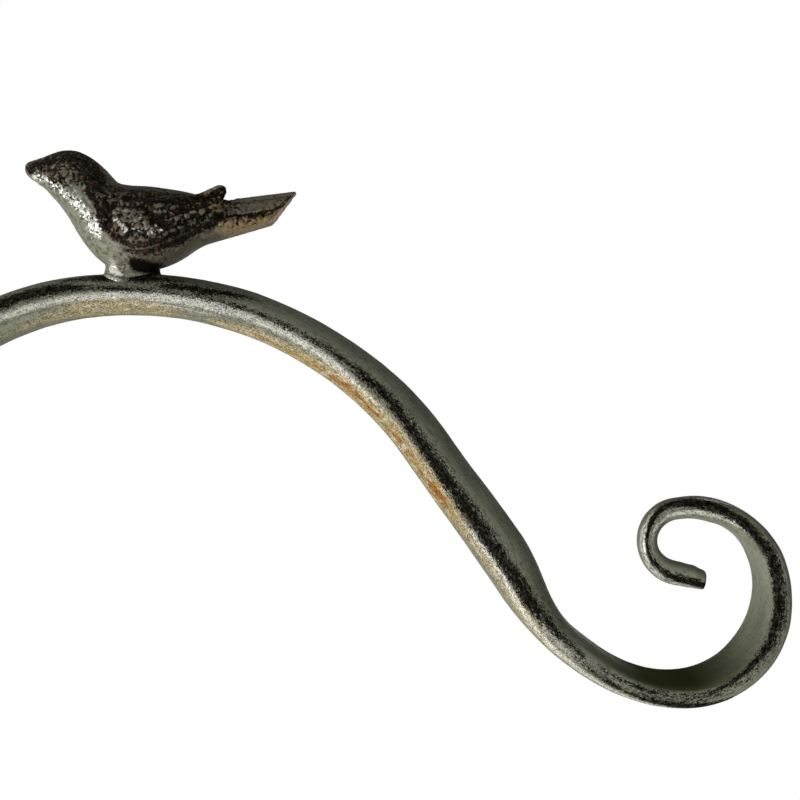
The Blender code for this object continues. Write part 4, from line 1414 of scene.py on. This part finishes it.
# %% Bird: tail and foot
# Each feather: x and z of its start and end, half height at both, and width, in shares of the bird's sizes
TAIL_BANDS = (
    (0.28, 0.510, 0.640, 0.645, 0.060, 0.034, 0.26),
    (0.28, 0.440, 0.630, 0.590, 0.075, 0.046, 0.36),
    (0.26, 0.338, 0.590, 0.512, 0.075, 0.052, 0.46),
)
TAIL_CUT = ((40.8, 19.9), (34.6, 12.4))
FEATHER_SOFT = 0.55
FEATHER_TAPER = 0.55
FOOT_LENGTH = 13.5
FOOT_WIDTH = 8.5
FOOT_ROWS = ((-0.06, 1.12), (0.0, 1.04), (0.05, 0.99), (0.12, 1.02), (0.20, 1.25), (0.27, 1.35))


def trim_tail(item):
    top, foot = (FOOT + Vector((x, 0.0, z)) for x, z in TAIL_CUT)
    edge = (top - foot).normalized()
    edit_all(item)
    bpy.ops.mesh.bisect(plane_co=top * MM, plane_no=(edge.z, 0.0, -edge.x), use_fill=True, clear_outer=True)
    end_edit()


def make_feather(band):
    x0, z0, x1, z1, height0, height1, width = band
    start, end = bird_point(x0, z0), bird_point(x1, z1)
    slope = math.atan2(end.z - start.z, end.x - start.x)
    middle = (start + end) / 2
    let_go()
    bpy.ops.mesh.primitive_cube_add(size=2 * MM, location=middle * MM)
    feather = name_new("tail_feather")
    edit_all(feather)
    grow(((end - start).length / 2, width * BIRD_WIDTH / 2, height0 * BIRD_HEIGHT), middle)
    pick(feather, lambda place: place.x > middle.x * MM + MM)
    tip = middle + Vector(((end - start).length / 2, 0.0, 0.0))
    grow((1.0, FEATHER_TAPER, height1 / height0), tip)
    bpy.ops.mesh.select_all(action="SELECT")
    bpy.ops.transform.rotate(value=slope, orient_axis="Y", center_override=middle * MM)
    end_edit()
    trim_tail(feather)
    soft = feather.modifiers.new("Soft edges", "BEVEL")
    soft.width = FEATHER_SOFT * MM
    soft.segments = 3
    apply_all(feather)
    return feather


for band in TAIL_BANDS:
    forms.append(make_feather(band))

let_go()
height, swell = FOOT_ROWS[0]
start = FOOT + Vector((0.0, 0.0, height * BIRD_HEIGHT))
bpy.ops.mesh.primitive_circle_add(vertices=32, radius=MM, fill_type="NGON", location=start * MM)
stub = name_new("foot_stub")
edit_all(stub)
grow((FOOT_LENGTH / 2 * swell, FOOT_WIDTH / 2 * swell, 1.0), start)
for (low, old), (high, new) in zip(FOOT_ROWS, FOOT_ROWS[1:]):
    push_out(z=(high - low) * BIRD_HEIGHT * MM)
    grow((new / old, new / old, 1.0), FOOT + Vector((0.0, 0.0, high * BIRD_HEIGHT)))
end_edit()
face_outwards(stub)
forms.append(stub)
print(len(forms), "forms in all")

# %% [markdown]
# The forms are joined, and a voxel remesh fuses them into one skin, as pouring the metal does. A Smooth
# modifier takes the small steps of the voxels away and softens the seams between the forms.

# %% Bird: one skin
BIRD_VOXEL = 0.27
hold(body)
for form in forms[1:]:
    form.select_set(True)
bpy.ops.object.join()
bird = bpy.context.active_object
melt(bird, BIRD_VOXEL, 5)
apply_all(bird)
bpy.ops.object.shade_smooth()
print("bird:", triangles(bird), "triangles")

# %% [markdown]
# Cuts and marks are placed as strokes too, in millimetres beside the foot, as seen from the side: back from
# it and up. A stroke also says how far out from the middle plane that part of the bird lies, because what
# lies nearer to the eye looks further from the middle of the picture. Both sides of the bird get the same
# strokes.

# %% Bird: strokes
def true_place(x, z, out):
    """The place on the bird for a point as seen from the side, where the surface lies that far out."""
    closer = (CAMERA_AWAY - out) / CAMERA_AWAY
    return (CAMERA_X + (FOOT.x + x - CAMERA_X) * closer - FOOT.x,
            CAMERA_Z + (FOOT.z + z - CAMERA_Z) * closer - FOOT.z)


WING_OUT = 9.5
HEAD_OUT = 5.5
BREAST_OUT = 7.0
TAIL_OUT = 3.0
FAR_AWAY = 99.0

# Each cut: out, half width, then its points (x back from the foot, z up)
CUTS = (
    (WING_OUT, 0.75, ((-5.6, 12.6), (-4.7, 9.3), (-1.4, 6.9), (1.5, 6.2), (4.4, 6.3), (8.8, 7.5), (12.7, 9.9),
                      (15.7, 11.6), (18.9, 12.9), (21.5, 15.2))),
    (WING_OUT, 0.5, ((-5.6, 12.6), (-5.8, 15.3), (-4.8, 17.6))),
    (WING_OUT, 0.8, ((3.0, 16.0), (5.7, 13.9), (8.3, 12.2))),
    (WING_OUT, 0.5, ((7.1, 13.4), (10.5, 15.2), (14.3, 16.7), (19.1, 18.4))),
    (WING_OUT, 0.5, ((8.6, 11.6), (12.4, 12.6), (16.2, 14.0), (20.1, 15.7))),
    (WING_OUT, 0.45, ((-1.9, 19.4), (2.8, 19.0), (7.6, 18.4), (12.4, 18.2), (17.2, 19.4), (20.4, 20.8))),
    (TAIL_OUT, 0.45, ((24.4, 14.3), (27.5, 14.5), (31.0, 14.8), (34.5, 15.6), (37.3, 16.8), (39.7, 18.9))),
    (HEAD_OUT, 0.3, ((-27.2, 26.2), (-25.0, 26.4), (-23.4, 26.9))),
)
# Each wash: out, half width, how much of the skin it covers, then its points. Some are painted shade, on the
# crown, along the back, on the flank and under the belly by the foot.
WASH_AND_SHADE_STROKES = (
    (HEAD_OUT, 2.8, 0.66, ((-20.6, 29.4), (-16.8, 30.3), (-13.2, 28.6), (-10.9, 25.8), (-8.8, 22.6))),
    (HEAD_OUT, 1.5, 0.66, ((-27.2, 27.6), (-24.1, 28.4), (-22.3, 28.2))),
    (6.0, 1.5, 0.60, ((-8.0, 21.4), (0.0, 20.3), (10.0, 19.2), (17.0, 19.4))),
    (HEAD_OUT, 3.2, 0.46, ((-20.2, 25.6), (-13.5, 23.8))),
    (WING_OUT, 2.4, 0.62, ((-10.1, 21.3), (-7.6, 17.5), (-6.2, 12.6))),
    (WING_OUT, 2.4, 0.50, ((-6.2, 18.5), (4.4, 17.3), (14.1, 17.5), (21.3, 20.2))),
    (WING_OUT, 3.2, 0.39, ((-5.2, 13.1), (4.4, 12.0), (14.1, 14.1), (19.9, 16.0))),
    (WING_OUT, 2.4, 0.50, ((-2.8, 9.8), (5.0, 8.9), (10.0, 10.0))),
    (WING_OUT, 0.6, 0.56, ((-4.7, 9.3), (-1.4, 6.9), (4.4, 6.3), (8.8, 7.5), (12.7, 9.9), (18.9, 12.9))),
    (WING_OUT, 0.8, 0.80, ((3.0, 16.0), (5.7, 13.9), (8.3, 12.2))),
    (WING_OUT, 0.7, 0.95, ((19.0, 20.4), (21.8, 22.0), (23.2, 20.6))),
    (WING_OUT, 0.9, 0.95, ((-0.5, 11.5), (-0.3, 11.3))),
    (BREAST_OUT, 2.2, 0.30, ((7.3, 3.9), (14.1, 7.3), (20.9, 10.2))),
    (BREAST_OUT, 2.4, 0.20, ((-5.0, 6.6), (-1.0, 4.2))),
    (BREAST_OUT, 2.4, 0.42, ((-1.0, 4.2), (6.0, 4.4))),
    (4.0, 1.4, 0.40, ((-2.6, 1.6), (0.0, 2.2))),
    (BREAST_OUT, 1.7, 0.35, ((-25.0, 25.4), (-19.7, 22.3), (-14.9, 18.4), (-11.0, 14.6), (-8.3, 10.8))),
    (TAIL_OUT, 0.3, 0.80, ((24.7, 14.3), (31.0, 14.8), (37.3, 16.8), (39.7, 18.9))),
    (TAIL_OUT, 1.9, 0.40, ((24.0, 16.6), (32.0, 17.4), (39.0, 19.2))),
    (TAIL_OUT, 2.0, 0.40, ((23.0, 11.4), (31.0, 12.7), (36.0, 14.4))),
    (TAIL_OUT, 0.5, 0.95, ((41.0, 19.9), (39.6, 17.8))),
)
# The other marks, like the cuts: out, half width, then the points
# Painted shade on the flank, along the back and on the top of the tail
PAINTED_SHADE_ZONES = (
    (BREAST_OUT, 3.2, ((5.0, 4.0), (12.0, 6.8), (21.0, 10.0))),
    (5.0, 2.0, ((-9.0, 24.0), (-5.0, 21.8), (4.0, 20.6), (16.0, 19.8))),
    (TAIL_OUT, 2.0, ((24.0, 16.8), (32.0, 17.6), (40.0, 19.4))),
)
SHADE = (
    (4.5, 1.5, ((0.9, 2.1), (3.5, 1.7), (6.4, 1.2))),
)
# Silver: the throat rubbed bright, with a painted highlight on the breast and painted glints on the wing
SILVER_WEAR_AND_GLINT_MARKS = (
    (HEAD_OUT, 0.9, ((-26.0, 25.2), (-22.5, 23.9), (-19.7, 22.3), (-14.9, 18.4))),
    (BREAST_OUT, 1.4, ((-14.9, 18.4), (-11.0, 14.6), (-8.8, 11.6))),
    (BREAST_OUT, 1.8, ((-9.2, 11.8), (-8.2, 10.4))),
    (4.0, 1.1, ((-4.8, 2.6), (-5.4, 0.9), (-3.6, 0.0))),
    (WING_OUT, 0.7, ((-3.4, 13.0), (-1.0, 10.6), (4.0, 9.8), (8.4, 11.0))),
    (WING_OUT, 0.3, ((2.6, 13.2), (8.0, 14.6), (14.0, 15.8))),
    (TAIL_OUT, -0.3, ((22.6, 9.9), (27.0, 10.7), (31.0, 11.6))),
)
OCHRE_MARKS = (
    (WING_OUT, 1.9, ((15.6, 15.8), (19.4, 17.4), (21.6, 19.4))),
    (TAIL_OUT, 2.4, ((22.8, 11.4), (30.0, 13.0), (38.0, 15.9))),
    (BREAST_OUT, 0.2, ((-5.2, 6.4), (-1.0, 4.2))),
    (WING_OUT, 1.2, ((-4.6, 11.2), (-3.8, 10.4))),
)
ROUGH_SKIN = (
    (HEAD_OUT, 3.4, ((-22.0, 25.2), (-16.0, 23.0), (-11.0, 17.0), (-8.5, 12.0))),
    (WING_OUT, 4.6, ((-7.0, 16.0), (0.0, 13.0), (8.0, 13.0), (16.0, 15.5), (21.0, 17.5))),
    (TAIL_OUT, 1.0, ((26.0, 13.0), (33.0, 14.3))),
)

print(len(CUTS), "cuts,", len(WASH_AND_SHADE_STROKES), "washes and", len(SILVER_WEAR_AND_GLINT_MARKS), "silver marks")

# %% [markdown]
# A point's distance from a stroke's line is taken off the stroke's half width. So the number is above zero
# inside the stroke and below zero outside it.

# %% Bird: distance from a stroke
def beside_foot(item):
    """How far back and up from the bird's foot each point lies, in millimetres."""
    points = points_of(item) / MM - np.array(FOOT)
    return points[:, 0], points[:, 2]


def near_stroke(x, z, stroke):
    """How far inside the stroke each point is, in millimetres; below zero it is outside."""
    out, half, stops = stroke
    stops = [true_place(*stop, out) for stop in stops]
    nearest = np.full(len(x), FAR_AWAY)
    for (x0, z0), (x1, z1) in zip(stops, stops[1:]):
        length = max((x1 - x0) ** 2 + (z1 - z0) ** 2, 1e-6)
        share = np.clip(((x - x0) * (x1 - x0) + (z - z0) * (z1 - z0)) / length, 0.0, 1.0)
        nearest = np.minimum(nearest, np.hypot(x - x0 - share * (x1 - x0), z - z0 - share * (z1 - z0)))
    return half - nearest


def inside_strokes(item, strokes):
    x, z = beside_foot(item)
    return np.max([near_stroke(x, z, stroke) for stroke in strokes], axis=0)


print(int((inside_strokes(bird, CUTS) > 0.0).sum()), "points lie in a cut")

# %% [markdown]
# The skin gets the cuts first: points near a cut sink along their own normal. Then come the small feathers
# of the real casting, which are worn to rounded lumps with gaps between them. A Voronoi pattern gives such
# cells when its place is first made to wander. The noise that makes it wander has a seed, so each run gives
# the same skin. The head, throat, wings and tail get the lumps, and the belly stays smooth.
#
# Each point also keeps how much of its skin the dark wash covers, together with the painted shade, and how
# deep it lies between the lumps.

# %% Bird: cuts and cast skin
CUT_DEPTH = 0.55
CUT_SLOPE = 0.45
CUT_REACH = 1.6
SKIN_DEPTH = 0.55
SKIN_LEVEL = 0.75
LUMP_STEEPNESS = 1.9
WASH_LEAST = 0.10
# How much painted shade the surfaces that face up get
PAINTED_SHADE_ON_TOP = 0.45
WASH_AND_SHADE_EDGE = 1.6
SCALE_MM = 2.1
WANDER_MM = 1.7
WANDER_DEPTH = 0.9
SKIN_SEED = 5


def normals_of(item):
    table = np.empty(len(item.data.vertices) * 3, dtype=np.float32)
    item.data.vertices.foreach_get("normal", table)
    return table.reshape(-1, 3).astype(np.float64)


def cast_skin(points):
    """Height of the cast skin at each point, from 0 in the gaps to 1 on the lumps."""
    noise.seed_set(SKIN_SEED)
    height = np.empty(len(points))
    for i, point in enumerate(points):
        spot = Vector(point)
        spot += noise.noise_vector(spot / WANDER_MM) * WANDER_DEPTH
        near = noise.voronoi(spot / SCALE_MM)[0]
        height[i] = min((near[1] - near[0]) * LUMP_STEEPNESS, 1.0)
    return np.sqrt(height)


cut = inside_strokes(bird, CUTS)
sides = np.abs(normals_of(bird)[:, 1])
points = points_of(bird) / MM
sink = np.exp(-np.square(np.minimum(cut, 0.0) / CUT_SLOPE)) * np.where(cut > -CUT_REACH, 1.0, 0.0)
sink *= np.clip(sides * 2.5, 0.0, 1.0)
rough = np.clip(inside_strokes(bird, ROUGH_SKIN) * 0.6 + 0.5, 0.0, 1.0)
skin = cast_skin(points)
push = -CUT_DEPTH * sink + SKIN_DEPTH * (skin - SKIN_LEVEL) * (0.10 + 0.90 * rough)
move_points(bird, (points + push[:, None] * normals_of(bird)) * MM)

x, z = beside_foot(bird)
wash_and_shade = np.full(len(x), WASH_LEAST)
for stroke_out, half, cover, stops in WASH_AND_SHADE_STROKES:
    inside = near_stroke(x, z, (stroke_out, half, stops))
    wash_and_shade = np.maximum(wash_and_shade, cover * np.clip(0.5 + inside / WASH_AND_SHADE_EDGE, 0.0, 1.0))
# Painted shade: surfaces that face up get more of the dark, as the lamps stand low
top = np.clip(normals_of(bird)[:, 2] * 1.4 - 0.3, 0.0, 1.0)
wash_and_shade = np.maximum(wash_and_shade, PAINTED_SHADE_ON_TOP * top)
store(bird, "wash_and_shade", wash_and_shade)
store(bird, "hollow", 0.25 + (SKIN_LEVEL - skin) * (0.15 + 0.85 * rough))
store(bird, "cut", sink)
for mark, strokes in (("shade", SHADE), ("painted_shade_zone", PAINTED_SHADE_ZONES), ("silver_wear_and_glint", SILVER_WEAR_AND_GLINT_MARKS), ("ochre", OCHRE_MARKS)):
    store(bird, mark, inside_strokes(bird, strokes))
print("skin moved by up to", round(float(np.abs(push).max()), 2), "mm")

# %% [markdown]
# The bird's finish is the same sage paint, wiped with a dark wash that stays in the cuts and hollows. Painted
# shade darkens the crown, the back, the flank and the surfaces that face up, and a painted shadow lies beside
# the foot. Silver shows where the casting was rubbed bright along the throat, and it also paints the highlight
# on the breast and glints on the wing. Ochre shows on the rear of the wing and the tail.

# %% Material: washed casting with painted shade and highlights
CAST_SAGE = tone(118, 121, 105)
CAST_LIGHT = tone(148, 150, 134)
# The dark of the wash and of the painted shade
WASH_AND_SHADE_TONE = tone(22, 18, 14)
WASH_AND_SHADE_BROWN = tone(64, 44, 30)
WING_BROWN = tone(106, 94, 80)
# The tone of the painted shade on the flank, back and tail
CAST_SHADE_TONE = tone(84, 86, 76)
CAST_OCHRE = tone(142, 104, 52)
CAST_TAN = tone(138, 124, 96)
# Rubbed bright metal, also used for painted highlights and glints
CAST_SILVER_AND_GLINT = tone(216, 215, 206)


def washed_and_shaded_casting(name):
    material, tree, shader = new_paint(name)
    shader.inputs["Specular IOR Level"].default_value = 0.0
    place = object_place(tree)
    marks = {mark: read_mark(tree, mark).outputs["Fac"]
             for mark in ("wash_and_shade", "hollow", "cut", "shade", "painted_shade_zone", "silver_wear_and_glint", "ochre")}
    grain = place_group(tree, grain_group, {"Place": place})
    colour = blend_colours(tree, grain.outputs["Grain"], CAST_SAGE, CAST_LIGHT)
    # Painted shade on the flank, the back and the top of the tail
    colour = blend_colours(tree, ramp(tree, marks["painted_shade_zone"], -1.6, 0.8), colour, CAST_SHADE_TONE)
    warm = stretched_noise(tree, place, (0.8, 0.8, 0.8), 4.0, 0.62)
    tint = calc(tree, "MULTIPLY_ADD", marks["wash_and_shade"], 0.30, warm)
    colour = blend_colours(tree, ramp(tree, tint, 0.50, 0.70), colour, WING_BROWN)

    patch = stretched_noise(tree, place, (0.9, 0.9, 0.9), 5.0, 0.7)
    ochre = calc(tree, "MULTIPLY_ADD", marks["ochre"], 0.22, patch)
    rust = blend_colours(tree, ramp(tree, warm, 0.50, 0.68), CAST_TAN, CAST_OCHRE)
    colour = blend_colours(tree, ramp(tree, ochre, 0.46, 0.78), colour, rust)

    # Silver rubbed metal, with the breast's painted highlight and the wing's painted glints
    bright = stretched_noise(tree, place, (1.5, 1.5, 1.5), 3.0, 0.7)
    bright = calc(tree, "MULTIPLY_ADD", marks["silver_wear_and_glint"], 0.20, bright)
    silver_wear_and_glint = ramp(tree, bright, 0.50, 0.66)
    colour = blend_colours(tree, silver_wear_and_glint, colour, CAST_SILVER_AND_GLINT)

    flecks = stretched_noise(tree, place, (1.3, 1.3, 1.3), 5.0, 0.72)
    flecks = calc(tree, "MULTIPLY_ADD", flecks, 2.6, -0.8)
    level = calc(tree, "MULTIPLY", flecks, 0.62)
    level = calc(tree, "MULTIPLY_ADD", marks["hollow"], 0.42, level)
    level = calc(tree, "MULTIPLY_ADD", marks["wash_and_shade"], 0.95, level)
    level = calc(tree, "MULTIPLY_ADD", marks["cut"], 0.24, level)
    # The dark wash in the hollows and cuts, together with the painted shade
    wash_and_shade = ramp(tree, level, 0.86, 1.02)
    brown = stretched_noise(tree, place, (0.6, 0.6, 0.6), 3.0, 0.6)
    dark = blend_colours(tree, ramp(tree, brown, 0.52, 0.68), WASH_AND_SHADE_TONE, WASH_AND_SHADE_BROWN)
    worn = stretched_noise(tree, place, (1.6, 1.6, 1.6), 4.0, 0.7)
    dark = blend_colours(tree, ramp(tree, worn, 0.48, 0.64, 0.0, 0.8), dark, SOOT_GREY)
    colour = blend_colours(tree, wash_and_shade, colour, dark)
    shade = ramp(tree, calc(tree, "MULTIPLY_ADD", flecks, 0.8, marks["shade"]), -0.2, 0.8)
    colour = blend_colours(tree, shade, colour, WASH_AND_SHADE_TONE)

    dull = calc(tree, "MAXIMUM", wash_and_shade, shade)
    rough = calc(tree, "MULTIPLY_ADD", silver_wear_and_glint, -0.12, 0.40)
    rough = calc(tree, "MULTIPLY_ADD", dull, 0.08, rough)
    shine = calc(tree, "MULTIPLY_ADD", silver_wear_and_glint, 0.4, 0.12)
    relief = calc(tree, "MULTIPLY_ADD", dull, -0.7, grain.outputs["Height"])
    relief = calc(tree, "ADD", relief, patch)
    finish_paint(tree, shader, colour, rough, shine, relief, 0.6, 0.16)
    return material


hand_over(bird, washed_and_shaded_casting("washed_and_shaded_bird_paint"), "crook", "bird")

# %% [markdown]
# The braze that holds the bird is a soft fillet round its foot. The torch ran it down on to the front of the
# bar, so it is thicker there. It is a bead on the line where the foot meets the round bar.

# %% Bird's braze
BRAZE_R = 0.72
BRAZE_DROP = 0.42
BRAZE_RUN_DEG = 238.0
# The span back from the foot where the braze gets a painted shadow, and the middle of its painted highlight
BRAZE_SHADOW_SPAN = (2.2, 5.6)
BRAZE_HIGHLIGHT_SPOT = (-3.9, -1.6)
path = []
radii = []
for i in range(BEAD_POINTS):
    turn = math.tau * i / BEAD_POINTS
    run = max(0.0, math.cos(turn - math.radians(BRAZE_RUN_DEG))) ** 3
    out = FOOT_WIDTH / 2 * math.sin(turn) * (1.0 + 0.12 * run)
    back = FOOT_LENGTH / 2 * math.cos(turn)
    half_bar = CROWN_SHARE * BAR_D / 2
    drop = half_bar * (1.0 - math.sqrt(1.0 - (2.0 * out / BAR_D) ** 2))
    crown_radius = ARCH_R + CROWN_SHARE * BAR_D - BAR_D / 2
    fall = crown_radius - math.sqrt(crown_radius ** 2 - back ** 2)
    path.append(FOOT + Vector((back, out, -drop - fall - BRAZE_DROP)))
    radii.append(BRAZE_R * (1.0 + 0.2 * run + 0.08 * math.sin(5 * turn) + 0.05 * math.sin(13 * turn + 1.0)))
braze = lay_bead("bird_braze_fillet", path, radii, smoothing=12)
finish_bead(braze, "crook", "bird_braze")
# The black on the right of the braze is a painted shadow that joins the one beside the foot, and the pale
# patch at its front left is a painted highlight
x, z = beside_foot(braze)
dark_coat_and_shadow = 1.6 - np.maximum(BRAZE_SHADOW_SPAN[0] - x, x - BRAZE_SHADOW_SPAN[1] - 1.6)
change_mark(braze, "black", lambda kept: np.clip(dark_coat_and_shadow, -1.0, 1.5))
silver_wear_and_glint = 1.2 - np.hypot(x - BRAZE_HIGHLIGHT_SPOT[0], z - BRAZE_HIGHLIGHT_SPOT[1]) * 0.6
change_mark(braze, "pale_wear_and_highlight", lambda kept: np.clip(silver_wear_and_glint, -1.0, 1.2))

# %% [markdown]

# %% End
print("all pieces built")
